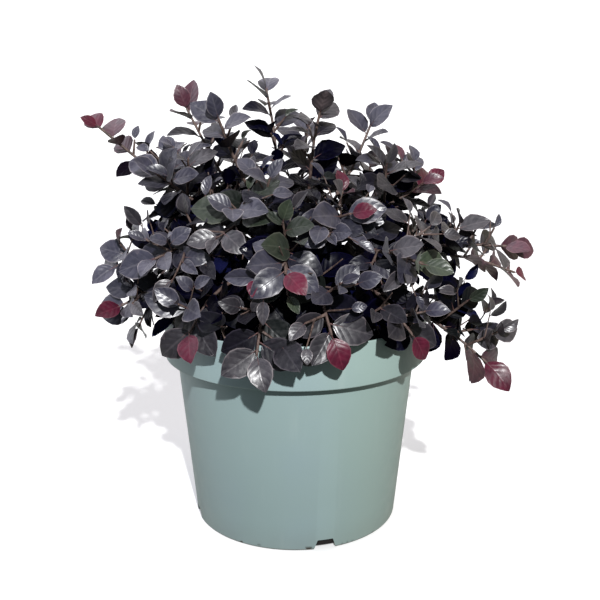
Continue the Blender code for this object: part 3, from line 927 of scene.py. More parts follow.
@dataclass(frozen=True)
class Pot:
    """The moulded nursery pot: a tapered wall, a stepped collar, a flat floor and notches in its foot."""

    rim_radius: float
    height: float
    collar_height: float = 0.0395
    body_top_radius: float = 0.1141
    base_radius: float = 0.0982
    wall: float = 0.0024
    floor: float = 0.0030
    collar_round: float = 0.0012
    lip_round: float = 0.0010
    foot_round: float = 0.0022
    step_round: float = 0.0006
    steps: int = 180
    sharp_from: float = 30.0
    notch_count: int = 4
    notch_first_azimuth: float = 286.0
    notch_width: float = 0.0212
    notch_narrowing: float = 0.34
    notch_height: float = 0.0098
    notch_depth: float = 0.015
    notch_round: float = 0.0012

    def wall_radius(self, height: float) -> float:
        """The radius of the outside of the body at a height."""
        share = height / (self.height - self.collar_height)
        return self.base_radius + (self.body_top_radius - self.base_radius) * share

    def profile(self) -> Array:
        """The wall's outline, up the outside from the middle of the underside and down inside to the floor.

        Returns:
            Rows of (radius, height).
        """
        step = self.height - self.collar_height
        rim, wall = self.rim_radius, self.wall
        corners = [
            (0.0, 0.0),
            (self.base_radius, 0.0),
            (self.wall_radius(step), step),
            (rim, step),
            (rim, self.height),
            (rim - wall, self.height),
            (rim - wall, step + wall),
            (self.wall_radius(step) - wall, step + wall),
            (self.wall_radius(self.floor) - wall, self.floor),
            (0.0, self.floor),
        ]
        collar, lip = self.collar_round, self.lip_round
        rounds = {1: self.foot_round, 2: self.step_round, 3: collar, 4: lip, 5: lip, 6: collar}
        return rounded_outline(corners, rounds)

    def notch_cutter(self, azimuth: float) -> Piece:
        """A wedge with a trapezoid outline and rounded upper corners, which cuts one drain notch.

        Args:
            azimuth: where the notch lies round the foot, in degrees.

        Returns:
            The cutter, as an object whose place is in its mesh.
        """
        change = self.notch_narrowing * self.notch_height
        above, below = self.notch_width / 2 - change, self.notch_width / 2 + change
        top = self.notch_height
        corners = [(-below, -top), (below, -top), (above, top), (-above, top)]
        outline = rounded_outline(corners, {2: self.notch_round, 3: self.notch_round})
        outward = azimuth_heading(azimuth)
        across = np.cross(outward, UP)
        flat = outline[:, :1] * across + outline[:, 1:] * UP
        ends = [flat + outward * (self.base_radius + side * self.notch_depth) for side in (-1, 1)]
        count = len(outline)
        ring = np.arange(count)
        sides = np.stack([ring, np.roll(ring, -1), np.roll(ring, -1) + count, ring + count], axis=-1)
        faces = [sides.tolist(), [ring[::-1].tolist()], [(ring + count).tolist()]]
        mesh = bpy.data.meshes.new("notch")
        mesh.from_pydata(np.vstack(ends).tolist(), [], [face for group in faces for face in group])
        work = bmesh.new()
        work.from_mesh(mesh)
        bmesh.ops.recalc_face_normals(work, faces=work.faces)
        work.to_mesh(mesh)
        work.free()
        return linked("notch", mesh)

    def build(self, finish: Material) -> None:
        """Turns the wall, cuts the notches and applies the cuts.

        Args:
            finish: the pot's material.
        """
        pot = revolved(self.profile(), self.steps).mesh_object("pot_shell", finish)
        cutters = [
            self.notch_cutter(self.notch_first_azimuth + index * 360 / self.notch_count)
            for index in range(self.notch_count)
        ]
        for cutter in cutters:
            cut = pot.modifiers.new("notch", "BOOLEAN")
            cut.operation = "DIFFERENCE"
            cut.object = cutter
        bpy.context.view_layer.update()
        graph = bpy.context.evaluated_depsgraph_get()
        mesh = bpy.data.meshes.new_from_object(pot.evaluated_get(graph))
        pot.modifiers.clear()
        pot.data = mesh
        mesh.set_sharp_from_angle(angle=math.radians(self.sharp_from))
        for cutter in cutters:
            bpy.data.objects.remove(cutter)
        place_piece(pot, ["pot"])


@dataclass(frozen=True)
class PottingMix:
    """The potting mix: a crumbly top over a plain body that fills the pot, with bits of bark on it."""

    pot: Pot
    top: float
    fall: float = 0.004
    flat_radius: float = 0.020
    rings: int = 100
    steps: int = 260
    crumb: float = 0.0011
    crumb_sink: float = 0.6
    lumps: tuple[Span, ...] = ((0.016, 1.1), (0.0052, 1.0), (0.0022, 0.7))
    lump_seed: int = 3
    plain_edge: float = 0.0008
    top_slack: float = 1e-4
    chips: int = 420
    chip_length: float = 0.0052
    chip_shares: Span = (0.35, 1.0)
    chip_shape: Triple = (1.0, 0.55, 0.22)
    chip_places: Span = (0.02, 1.0)
    chip_edge: float = 0.006
    chip_sink: float = 0.2
    chip_skew: float = 0.16
    chip_slope: float = 0.35
    chip_tilt: float = 0.3
    chip_sharp_from: float = 20.0
    seed: int = 5

    def rim(self) -> float:
        """The radius of the mix at the pot's rim."""
        return self.pot.rim_radius - self.pot.wall - GAP

    def top_height(self, radii: Array, rim: float) -> Array:
        """The height of the domed top, flat round the trunk and falling evenly from there to a rim."""
        share = np.clip((radii - self.flat_radius) / (rim - self.flat_radius), 0.0, 1.0)
        return self.top - self.fall * share

    def body_profile(self) -> Array:
        """The outline of the body below the crumbly top, from the rim down to the middle of the underside.

        Returns:
            Rows of (radius, height).
        """
        pot, rim = self.pot, self.rim()
        step = pot.height - pot.collar_height
        shelf = step + pot.wall + GAP
        corners = [
            (rim, self.top - self.fall),
            (rim, shelf),
            (pot.wall_radius(step) - pot.wall - GAP, shelf),
            (pot.wall_radius(pot.floor) - pot.wall - GAP, pot.floor + GAP),
            (0.0, pot.floor + GAP),
        ]
        return rounded_outline(corners, {1: pot.collar_round - GAP})

    def surface(self) -> Surface:
        """The solid of revolution, with lattice noise of three sizes added to the height of its top.

        Returns:
            The surface.
        """
        rim = self.rim()
        radii = np.linspace(0.0, rim, self.rings)
        top = np.stack([radii, self.top_height(radii, rim)], axis=-1)
        profile = np.vstack([self.body_profile()[::-1], top[::-1][1:]])
        made = revolved(profile, self.steps)
        points = made.points
        over = points[:, 2] > self.top - self.fall - self.top_slack
        inner = over & (np.hypot(points[:, 0], points[:, 1]) < rim - self.plain_edge)
        flat = points * np.array([1.0, 1.0, 0.0])
        heights = sum(
            lattice_noise(flat, cell, self.lump_seed + index) * weight
            for index, (cell, weight) in enumerate(self.lumps)
        )
        points[inner, 2] += (self.crumb * (heights - self.crumb_sink))[inner]
        return made

    def chip_pieces(self) -> Surface:
        """Flat chips of bark: boxes with their corners moved and turned at random, laid on the top.

        Returns:
            The surface.
        """
        chance = np.random.default_rng(self.seed)
        count = self.chips
        rim = self.pot.rim_radius - self.pot.wall - self.chip_edge
        reach = np.sqrt(chance.uniform(*self.chip_places, count)) * rim
        angle = chance.uniform(0.0, math.tau, count)
        height = self.top_height(reach, rim) - self.crumb * self.chip_sink
        centres = np.stack([reach * np.cos(angle), reach * np.sin(angle), height], axis=-1)
        lengths = self.chip_length * chance.uniform(*self.chip_shares, (count, 1))
        corners = np.array(list(itertools.product((-0.5, 0.5), repeat=3)))
        skew = chance.uniform(-self.chip_skew, self.chip_skew, (count, 8, 3))
        shapes = (corners[None] + skew) * (lengths * np.array([self.chip_shape]))[:, None]
        first = unit(chance.normal(0.0, 1.0, (count, 3)) * np.array([1.0, 1.0, self.chip_slope]))
        second = unit(np.cross(first, UP + chance.normal(0.0, self.chip_tilt, (count, 3))))
        frames = np.stack([first, second, np.cross(first, second)], axis=1)
        points = centres[:, None] + shapes @ frames
        sides = [[0, 1, 3, 2], [4, 6, 7, 5], [0, 4, 5, 1], [2, 3, 7, 6], [0, 2, 6, 4], [1, 5, 7, 3]]
        return Surface(points.reshape(-1, 3), [repeated_faces(np.array(sides), count, 8)])

    def build(self, finish: Material, chip_finish: Material) -> None:
        """Makes the mix and the bark chips on it.

        Args:
            finish: the mix's material.
            chip_finish: the chips' material.
        """
        crumb = self.surface().mesh_object("potting_mix_crumb", finish)
        chips = self.chip_pieces().mesh_object("bark_chips", chip_finish, self.chip_sharp_from)
        for piece in (crumb, chips):
            place_piece(piece, ["potting_mix"])


# The wood


@dataclass(frozen=True)
class Branch:
    """A bough with the mass of foliage that grows on from it.

    azimuth is in degrees round the trunk, with 0 on the right and 270 in front. reach and height are where
    the outermost leaf ends, from the trunk's foot and from the ground. arch is how far the middle bows up.
    fullness is the length of its twigs as a share of the usual, which is small on a slender wand.
    """

    name: str
    azimuth: float
    reach: float
    height: float
    arch: float
    fullness: float = 1.0

    def tip(self) -> Array:
        """Where its outermost leaf ends."""
        return azimuth_heading(self.azimuth) * self.reach + UP * self.height


LEADER = "leader"
BRANCHES = (
    Branch(LEADER, 142, 0.040, 0.424, 0.000, 0.5),
    Branch("right_wand", 318, 0.036, 0.406, 0.000, 0.5),
    Branch("left_wand", 207, 0.082, 0.402, -0.012, 0.5),
    Branch("upper_left_wand", 165, 0.118, 0.413, -0.022, 0.5),
    Branch("left_upper", 199, 0.142, 0.345, 0.000),
    Branch("upper_right", 22, 0.084, 0.394, -0.012, 0.5),
    Branch("back_top", 84, 0.080, 0.378, 0.000, 0.6),
    Branch("far_left", 181, 0.200, 0.392, -0.008, 0.4),
    Branch("left_shoulder", 152, 0.168, 0.322, 0.016, 0.8),
    Branch("left_middle", 193, 0.184, 0.246, 0.022, 0.9),
    Branch("left_low", 203, 0.184, 0.210, 0.032),
    Branch("right_shoulder", 358, 0.134, 0.330, 0.006),
    Branch("right_long", 343, 0.218, 0.272, 0.018, 0.6),
    Branch("right_middle", 5, 0.236, 0.222, 0.036, 0.5),
    Branch("right_low", 336, 0.208, 0.152, 0.043),
    Branch("front_upper_left", 243, 0.122, 0.314, 0.016),
    Branch("front_upper_right", 297, 0.118, 0.310, 0.016),
    Branch("left_front", 220, 0.168, 0.262, 0.032),
    Branch("front", 268, 0.152, 0.258, 0.034),
    Branch("right_front", 315, 0.168, 0.262, 0.028),
    Branch("front_left_low", 234, 0.162, 0.192, 0.050),
    Branch("front_low", 259, 0.164, 0.178, 0.058),
    Branch("front_middle", 283, 0.158, 0.196, 0.052),
    Branch("front_right_low", 310, 0.172, 0.192, 0.048),
    Branch("back_left", 124, 0.176, 0.300, 0.022),
    Branch("back_right", 48, 0.176, 0.296, 0.022),
    Branch("back_left_low", 140, 0.190, 0.212, 0.052),
    Branch("back_low", 92, 0.184, 0.214, 0.050),
    Branch("back_right_low", 38, 0.192, 0.206, 0.054),
)


@dataclass(frozen=True)
class Trunk:
    """The short trunk: a taper with a slight lean, and a root flare that fades out quickly."""

    foot: float
    height: float = 0.072
    foot_radius: float = 0.0095
    taper: float = 0.42
    flare: float = 0.0050
    flare_fade: float = 9.0
    lean: float = 0.05
    lean_azimuth: float = 160.0
    rings: int = 90
    sides: int = 72
    relief: float = 0.045
    seed: int = 21

    def axis(self, height: float) -> Array:
        """The trunk's middle at a height, which leans away by lean h h / H at h over its foot."""
        rise = max(height - self.foot, 0.0)
        return azimuth_heading(self.lean_azimuth) * self.lean * rise * rise / self.height + UP * height

    def radius(self, height: float) -> float:
        """The trunk's radius at a height."""
        share = (height - self.foot) / self.height
        return self.foot_radius * (1 - self.taper * share) + self.flare * math.exp(-self.flare_fade * share)

    def build(self, finish: Material) -> None:
        """Makes the trunk with its bark's relief, from its level cut to its fork.

        Args:
            finish: the trunk's material.
        """
        heights = np.linspace(self.foot, self.foot + self.height, self.rings)
        path = np.array([self.axis(height) for height in heights])
        radii = np.array([self.radius(height) for height in heights])
        bark = tubes(path[None], radii[None], self.sides, self.relief, self.seed)
        place_piece(bark.mesh_object("trunk_bark", finish, BARK_SHARP_FROM), ["trunk"])


@dataclass(frozen=True)
class BoughRule:
    """How the boughs leave the trunk and arch out to their tips, as in the solids."""

    trunk: Trunk
    first: float = 0.12
    root: float = 0.75
    radius: float = 0.0018
    tip_radius: float = 0.0017
    share: float = 0.28
    arch_weight: float = 0.3
    sway: float = 0.004
    spine_points: int = 61
    overlap: float = 0.004
    rings: int = 26
    sides: int = 16
    relief: float = 0.07
    seed: int = 31

    def spine(self, branch: Branch, start_height: float) -> Array:
        """Points along a branch from inside the trunk to its outermost leaf tip.

        A straight line from the trunk to the tip, plus arch 4 t (1 - t) upwards and sway sin(2 pi t)
        sideways.

        Args:
            branch: the branch.
            start_height: where it leaves the trunk, over the ground.

        Returns:
            The evenly spaced points.
        """
        outward = azimuth_heading(branch.azimuth)
        start = self.trunk.axis(start_height)
        if branch.name != LEADER:
            start = start + outward * self.trunk.radius(start_height) * self.root
        share = np.linspace(0.0, 1.0, self.spine_points)[:, None]
        bow = UP * branch.arch * 4 * share * (1 - share)
        across = np.cross(UP, outward) * self.sway * np.sin(math.tau * share)
        return start + (branch.tip() - start) * share + bow + across

    def spines(self) -> dict[str, Array]:
        """Every branch's spine. The branches with the lowest tips leave the trunk lowest.

        Returns:
            The spines by the branches' names.
        """
        ordered = sorted(BRANCHES, key=lambda branch: branch.height + branch.arch * self.arch_weight)
        heights = self.trunk.foot + self.trunk.height * np.linspace(self.first, 1.0, len(ordered))
        return {branch.name: self.spine(branch, height) for branch, height in zip(ordered, heights)}

    def build(self, spines: dict[str, Array], finish: Material) -> None:
        """Makes all boughs, with their bark's relief, as one piece.

        Args:
            spines: the branches' spines by name.
            finish: the boughs' material.
        """
        names = [branch.name for branch in BRANCHES if branch.name != LEADER]
        last = self.share + self.overlap
        paths = np.array([resampled(spines[name], 0.0, last, self.rings) for name in names])
        radii = np.broadcast_to(np.linspace(self.radius, self.tip_radius, self.rings), paths.shape[:2])
        bark = tubes(paths, radii, self.sides, self.relief, self.seed)
        piece = bark.mesh_object("boughs_bark", finish, BARK_SHARP_FROM)
        place_piece(piece, [f"bough_{name}" for name in names])


# The shoots


class Rank(Enum):
    """What a shoot is: the stem of a mass, a twig on it, or a finer sprig on either."""

    STEM = "stem"
    TWIG = "twig"
    SPRIG = "sprig"


@dataclass
class Shoot:
    """A shoot: its evenly spaced points, its radii at foot and tip, its bare share and its branch."""

    rank: Rank
    branch: Branch
    points: Array
    radii: Span
    bare: float


@dataclass(frozen=True)
class SideRule:
    """How side shoots branch from a shoot, in the most open of a few directions. Angles are in radians.

    first and last are shares of the way along the carrier, and cuts the shares of the full length that are
    tried. openness is the least distance from a tip to other wood, and spare the room left to the outline.
    """

    rank: Rank
    spacing: float
    first: float
    last: float
    longest: float
    shortest: float
    cuts: Row
    divergence: float
    rolls: Row
    light_pull: float
    openness: float
    spare: float
    radii: Span
    bare: float
    test_shares: Row
    seed: int
    length_jitter: Span

    def most_open(
        self,
        carrier: Shoot,
        share: float,
        index: int,
        reach: float,
        openness: Callable[[Array], float],
    ) -> tuple[float, Shoot]:
        """Tries a side shoot at every roll and cut, and keeps the one whose tip lies most open.

        Args:
            carrier: the shoot that bears it.
            share: how far along the carrier it leaves.
            index: its number, as the sides take turns.
            reach: its full length.
            openness: tells how open the place of such points is.

        Returns:
            How open the place is, and the side shoot.
        """
        start, heading = along(carrier.points, share), heading_along(carrier.points, share)
        outward = azimuth_heading(carrier.branch.azimuth)
        side = 0.0 if index % 2 else math.pi
        choices = []
        for roll, cut in itertools.product(self.rolls, self.cuts):
            away = diverging(heading, outward, self.divergence, side + roll)
            ends = grown_twig(start, away, reach * cut, self.light_pull)
            tested = np.array([along(ends, part) for part in self.test_shares])
            choices.append((openness(tested), ends))
        best, ends = max(choices, key=lambda choice: choice[0])
        return best, Shoot(self.rank, carrier.branch, ends, self.radii, self.bare)


def radians(*degrees: float) -> Row:
    """Angles in radians."""
    return tuple(math.radians(value) for value in degrees)


# The seeded rule by which twigs branch from a stem, as in the solids
TWIGS = SideRule(
    Rank.TWIG, spacing=0.0172, first=0.04, last=0.84, longest=0.062, shortest=0.026, cuts=(1.0, 0.75, 0.5),
    divergence=math.radians(58), rolls=radians(0, 28, -28, 56, -56, 84, -84), light_pull=0.22,
    openness=0.012, spare=0.012, radii=(0.0013, 0.0009), bare=0.22,
    test_shares=tuple(np.linspace(0.3, 1.0, 11)), seed=11, length_jitter=(-0.10, 0.10),
)
FEWEST_TWIGS = 4
# Half of how much nearer a twig keeps to its own mass's wood than to any other's
TWIG_MARGIN = 0.003

# The same rule carried on to finer sprigs, on the twigs and on the stems between them
SPRIGS = SideRule(
    Rank.SPRIG, spacing=0.0150, first=0.22, last=0.88, longest=0.034, shortest=0.018, cuts=(1.0, 0.7),
    divergence=math.radians(52), rolls=radians(0, 35, -35, 70, -70), light_pull=0.30,
    openness=0.0086, spare=0.009, radii=(0.00085, 0.0005), bare=0.18,
    test_shares=(0.45, 0.72, 1.0), seed=71, length_jitter=(0.6, 1.3),
)
# The heights between which sprigs thin out, and how open their places are at the upper one
SPRIG_THINNING = (0.28, 0.40)
SPRIG_TOP_OPENNESS = 0.0150
SPRIG_WOOD_POINTS = 9


@dataclass(frozen=True)
class StemRule:
    """The stem of each mass, as in the solids."""

    end: float = 0.90
    tip_radius: float = 0.0011
    points: int = 5
    bare: float = 0.10


def grown_twig(start: Array, heading: Array, length: float, light_pull: float) -> Array:
    """The two ends of a twig that sets out along heading, and is drawn up a little by the light."""
    return np.array([start, start + unit(heading + UP * light_pull) * length])


def densified(points: Array, count: int = 21) -> Array:
    """Close points along a shoot."""
    return resampled(points, 0.0, 1.0, count)


@dataclass(frozen=True)
class CrownOutline:
    """How far the crown reaches in each direction, as a blend of its nearest branch tips."""

    centre: Triple = (0.0, 0.0, 0.240)
    tip_influence: float = math.radians(12)
    least_nearness: float = 1e-9

    def radius(self, directions: Array) -> Array:
        """How far the crown reaches from its centre along unit vectors.

        It is the mean of the tips' reaches, each weighted by exp(-(a / i)^2) for its angle a and its
        influence i, which is small for a slender wand.

        Args:
            directions: the unit vectors.

        Returns:
            The reach along each.
        """
        tips = np.array([branch.tip() for branch in BRANCHES]) - np.array(self.centre)
        radii = np.linalg.norm(tips, axis=1)
        angles = np.arccos(np.clip(directions @ (tips / radii[:, None]).T, -1.0, 1.0))
        influence = self.tip_influence * np.array([branch.fullness for branch in BRANCHES])
        nearness = np.exp(-((angles / influence) ** 2)) + self.least_nearness
        return (nearness * radii).sum(axis=1) / nearness.sum(axis=1)

    def holds(self, points: Array, spare: float) -> bool:
        """Whether all points keep inside the outline, with some room to spare."""
        offsets = points - np.array(self.centre)
        return bool((np.linalg.norm(offsets, axis=1) + spare < self.radius(unit(offsets))).all())

    def depth(self, point: Array) -> float:
        """A point's distance from the crown's centre as a share of the crown's reach there."""
        offset = point - np.array(self.centre)
        return float(np.linalg.norm(offset)) / float(self.radius(unit(offset)[None])[0])


@dataclass
class Room:
    """Says whether a shoot or a leaf has room: inside the crown, and clear of the limbs and the pot."""

    pot: Pot
    mix_top: float
    boughs: BoughRule
    spines: dict[str, Array]
    outline: CrownOutline = CrownOutline()
    pot_room: float = 0.0020
    limb_room: float = 0.0014
    limb_steps: int = 24

    def __post_init__(self) -> None:
        """Notes where the limbs lie, and each branch's own wood, from a third of the way along it."""
        boughs, trunk = self.boughs, self.boughs.trunk
        shares = np.linspace(0.0, boughs.share, self.limb_steps)
        named = [points for name, points in self.spines.items() if name != LEADER]
        rows = [np.array([along(points, share) for share in shares]) for points in named]
        heights = np.linspace(trunk.foot, trunk.foot + trunk.height, self.limb_steps)
        self.limb_points = np.vstack([*rows, np.array([trunk.axis(height) for height in heights])])
        thin = np.full(len(rows) * len(shares), boughs.radius)
        self.limb_radii = np.concatenate([thin, [trunk.radius(height) for height in heights]])
        self.wood = {name: points[len(points) // 3:] for name, points in self.spines.items()}

    def in_own_space(self, name: str, points: Array) -> bool:
        """Whether all points are nearer to this mass's wood than to any other's, by twice the margin.

        Args:
            name: the mass's branch.
            points: the points.

        Returns:
            Whether they are.
        """
        others = np.vstack([row for other, row in self.wood.items() if other != name])
        own = gaps_between(points, self.wood[name])
        return bool((own + 2 * TWIG_MARGIN < gaps_between(points, others)).all())

    def clear_of_limbs(self, points: Array) -> bool:
        """Whether all points keep off the trunk and the boughs."""
        gaps = np.linalg.norm(points[:, None] - self.limb_points[None], axis=2) - self.limb_radii
        return bool(gaps.min() > self.limb_room)

    def clear_of_pot(self, points: Array) -> bool:
        """Whether all points keep out of the pot and its potting mix.

        Args:
            points: the points.

        Returns:
            Whether they do.
        """
        radii = np.hypot(points[:, 0], points[:, 1])
        rim, room = self.pot.rim_radius, self.pot_room
        low = points[:, 2] < self.pot.height + room
        over_mix = (radii < rim - self.pot.wall - room) & (points[:, 2] > self.mix_top + room)
        return not (low & (radii < rim + room) & ~over_mix).any()

    def free(self, points: Array, spare: float) -> bool:
        """Whether all points keep off the limbs and the pot, and inside the outline with room to spare."""
        clear = self.clear_of_limbs(points) and self.clear_of_pot(points)
        return clear and self.outline.holds(points, spare)

    def for_twig(self, name: str, points: Array) -> float:
        """How open the place at a twig's tip is.

        Args:
            name: its branch's name.
            points: points along it.

        Returns:
            The distance to the nearest wood, or 0 where a twig of this mass may not lie.
        """
        if not (self.in_own_space(name, points) and self.free(points, TWIGS.spare)):
            return 0.0
        return float(gaps_between(points[-1:], np.vstack(list(self.wood.values())))[0])

    def for_sprig(self, points: Array, wood: Array) -> float:
        """How open the place at a sprig's tip is.

        Args:
            points: points along it.
            wood: points on all the wood.

        Returns:
            The distance to the nearest wood, or 0 where a sprig may not lie.
        """
        openness = float(gaps_between(points[-1:], wood)[0])
        least = np.interp(points[-1, 2], SPRIG_THINNING, (SPRIGS.openness, SPRIG_TOP_OPENNESS))
        return openness if openness > least and self.free(points, SPRIGS.spare) else 0.0


@dataclass
class Growth:
    """Grows the shoots: the solids' stems and twigs first, and then the finer sprigs."""

    room: Room

    def stem(self, branch: Branch) -> Shoot:
        """The stem of a mass, on from its bough's tip or the trunk's top.

        Args:
            branch: the branch.

        Returns:
            The stem.
        """
        rule, boughs, spine = StemRule(), self.room.boughs, self.room.spines[branch.name]
        first = boughs.share + GAP / row_length(spine)
        if branch.name == LEADER:
            slant = np.linalg.norm(heading_along(spine, 0.0)[:2])
            first = (GAP + boughs.tip_radius * slant) / row_length(spine)
        points = resampled(spine, first, rule.end, rule.points)
        return Shoot(Rank.STEM, branch, points, (boughs.tip_radius, rule.tip_radius), rule.bare)

    def twigs(self, stem: Shoot, chance: Chance) -> list[Shoot]:
        """The twigs that leave a stem on one side and then the other, each in the most open direction.

        Args:
            stem: the stem.
            chance: the branch's own random numbers.

        Returns:
            The twigs that found room.
        """
        rule, name, wood = TWIGS, stem.branch.name, self.room.wood
        count = max(FEWEST_TWIGS, round(row_length(stem.points) / rule.spacing))
        made = []
        for index in range(count):
            share = rule.first + (rule.last - rule.first) * index / (count - 1)
            reach = rule.longest + (rule.shortest - rule.longest) * share
            reach *= stem.branch.fullness * (1 + chance.uniform(*rule.length_jitter))
            openness, twig = rule.most_open(
                stem, share, index, reach, lambda points: self.room.for_twig(name, points)
            )
            if openness > rule.openness:
                made.append(twig)
                wood[name] = np.vstack([wood[name], densified(twig.points)])
        return made

    def sprigs(self, carriers: list[Shoot]) -> list[Shoot]:
        """Finer sprigs on stems and twigs, each in the most open direction, left out where none is open.

        Args:
            carriers: the stems and twigs.

        Returns:
            The sprigs.
        """
        rule = SPRIGS
        chance = np.random.default_rng(rule.seed)
        wood = np.vstack([densified(shoot.points) for shoot in carriers])
        made = []
        for shoot in carriers:
            count = max(1, round(row_length(shoot.points) * (rule.last - rule.first) / rule.spacing))
            for index in range(count):
                share = rule.first + (rule.last - rule.first) * (index + 0.5) / count
                jitter = chance.uniform(*rule.length_jitter)
                reach = rule.longest + (rule.shortest - rule.longest) * share * jitter
                reach *= shoot.branch.fullness
                openness, sprig = rule.most_open(
                    shoot, share, index, reach, lambda points: self.room.for_sprig(points, wood)
                )
                if openness > 0.0:
                    made.append(sprig)
                    wood = np.vstack([wood, densified(sprig.points, SPRIG_WOOD_POINTS)])
        return made

    def all_shoots(self) -> list[Shoot]:
        """Every stem, twig and sprig.

        Returns:
            The stems and twigs in the branches' order, and then the sprigs.
        """
        carriers = []
        for index, branch in enumerate(BRANCHES):
            stem = self.stem(branch)
            chance = np.random.default_rng(TWIGS.seed + index)
            carriers += [stem, *self.twigs(stem, chance)]
        return carriers + self.sprigs(carriers)


@dataclass(frozen=True)
class ShootWood:
    """The shoots' own meshes: slender tapering tubes with a slight bow."""

    sides: int
    rings: int
    bow: float
    relief: float = 0.05
    seed: int = 41

    def build(self, name: str, shoots: list[Shoot], finish: Material, nodes: list[str]) -> None:
        """Makes the shoots of one rank as one piece.

        A point at share t of a shoot of length l lies bow l 4 t (1 - t) below its straight line.

        Args:
            name: the piece's name.
            shoots: the shoots.
            finish: their material.
            nodes: the CAD nodes that the piece stands for.
        """
        share = np.linspace(0.0, 1.0, self.rings)
        paths = np.array([resampled(shoot.points, 0.0, 1.0, self.rings) for shoot in shoots])
        lengths = np.linalg.norm(paths[:, -1] - paths[:, 0], axis=1)
        sag = self.bow * lengths[:, None] * 4 * share * (1 - share)
        paths = paths - UP * sag[..., None]
        ends = np.array([shoot.radii for shoot in shoots])
        radii = ends[:, :1] + (ends[:, 1:] - ends[:, :1]) * share
        wood = tubes(paths, radii, self.sides, self.relief, self.seed)
        place_piece(wood.mesh_object(name, finish, BARK_SHARP_FROM), nodes)


# The leaves


class LeafKind(Enum):
    """The plain colours that the sprays' leaves are dealt."""

    SLATE = "slate"
    PLUM = "plum"
    # Dark blue leaves that stand for painted shade deep in the crown
    NAVY = "navy"
    WINE = "wine"
    CRIMSON = "crimson"
    OLIVE = "olive"


SLATE, PLUM, NAVY, WINE, CRIMSON, OLIVE = LeafKind


# The colours of each kind's face, mottling, veins, edge and underside
LEAF_FINISHES = {
    SLATE: LeafFinish(
        "slate_leaf", (0.042, 0.040, 0.062), (0.026, 0.025, 0.041), (0.095, 0.090, 0.108),
        (0.220, 0.195, 0.205), (0.210, 0.175, 0.195),
    ),
    PLUM: LeafFinish(
        "plum_leaf", (0.046, 0.041, 0.048), (0.028, 0.025, 0.031), (0.105, 0.094, 0.100),
        (0.225, 0.190, 0.195), (0.230, 0.175, 0.180),
    ),
    # Painted shade: dark blue leaves deep in the crown, darkened little there and dim on the outside
    NAVY: LeafFinish(
        "navy_leaf", (0.008, 0.010, 0.033), (0.006, 0.008, 0.023), (0.012, 0.015, 0.040),
        (0.018, 0.021, 0.050), (0.008, 0.010, 0.034), sheen=0.02, gloss=0.16,
        inner_painted_shade=0.50, inner_painted_shade_blue=1.00, outer_painted_light=0.40,
    ),
    WINE: LeafFinish(
        "wine_leaf", (0.076, 0.023, 0.037), (0.048, 0.017, 0.028), (0.120, 0.056, 0.068),
        (0.170, 0.085, 0.098), (0.220, 0.085, 0.110), sheen=0.08, gloss=0.65,
    ),
    CRIMSON: LeafFinish(
        "crimson_leaf", (0.100, 0.009, 0.027), (0.066, 0.007, 0.020), (0.145, 0.026, 0.046),
        (0.170, 0.050, 0.068), (0.140, 0.016, 0.040), sheen=0.02, gloss=0.40, outer_painted_light=1.20,
    ),
    OLIVE: LeafFinish(
        "olive_leaf", (0.040, 0.054, 0.032), (0.029, 0.040, 0.025), (0.090, 0.108, 0.070),
        (0.150, 0.158, 0.112), (0.070, 0.084, 0.056), sheen=0.08, gloss=0.65,
    ),
}


@dataclass(frozen=True)
class Spray:
    """The colours of one shoot's leaves: its youngest few, and the rest."""

    tip: LeafKind
    body: LeafKind
    young: int


# The stems whose leaves have their own colours in the photo
STEM_SPRAYS = {
    "upper_left_wand": Spray(WINE, PLUM, 4),
    "far_left": Spray(CRIMSON, WINE, 2),
    "left_low": Spray(CRIMSON, SLATE, 1),
    "right_shoulder": Spray(CRIMSON, PLUM, 4),
    "right_long": Spray(WINE, PLUM, 3),
    "right_middle": Spray(CRIMSON, WINE, 3),
    "right_low": Spray(CRIMSON, WINE, 2),
    "front_upper_left": Spray(SLATE, OLIVE, 3),
    "front_upper_right": Spray(CRIMSON, SLATE, 1),
    "front": Spray(CRIMSON, SLATE, 1),
    "front_left_low": Spray(CRIMSON, PLUM, 1),
    "front_low": Spray(PLUM, OLIVE, 4),
    "right_front": Spray(OLIVE, SLATE, 3),
    "front_middle": Spray(CRIMSON, PLUM, 1),
    "front_right_low": Spray(CRIMSON, PLUM, 2),
}


@dataclass(frozen=True)
class SprayColours:
    """How the colours are dealt out to the sprays."""

    crimson_tips: float = 0.030
    wine_tips: float = 0.06
    olive_sprays: float = 0.09
    # Painted shade: the share of dark blue sprays, and how deep in the crown they lie
    painted_shade_navy_sprays: float = 0.34
    olive_depth: float = 0.88
    painted_shade_navy_depth: float = 0.74
    plum_sprays: float = 0.38
    young_counts: tuple[int, int] = (1, 4)

    def deal(self, shoot: Shoot, depth: float, chance: Chance) -> Spray:
        """Deals one spray's colours. Olive leaves are old ones and navy leaves are painted shade, and both
        only lie deeper in the crown.

        Args:
            shoot: the shoot that bears it.
            depth: the spray's distance from the crown's centre as a share of the crown's reach there.
            chance: random numbers.

        Returns:
            The spray's colours.
        """
        if shoot.rank is Rank.STEM and shoot.branch.name in STEM_SPRAYS:
            return STEM_SPRAYS[shoot.branch.name]
        body = PLUM if chance.random() < self.plum_sprays else SLATE
        draw = chance.random()
        if depth < self.olive_depth and draw < self.olive_sprays:
            return Spray(OLIVE, OLIVE, 0)
        # Painted shade: a dark blue spray deep in the crown
        if depth < self.painted_shade_navy_depth and draw > 1 - self.painted_shade_navy_sprays:
            return Spray(NAVY, NAVY, 0)
        draw = chance.random()
        if draw >= self.crimson_tips + self.wine_tips:
            return Spray(body, body, 0)
        tip = CRIMSON if draw < self.crimson_tips else WINE
        return Spray(tip, body, int(chance.integers(*self.young_counts)))


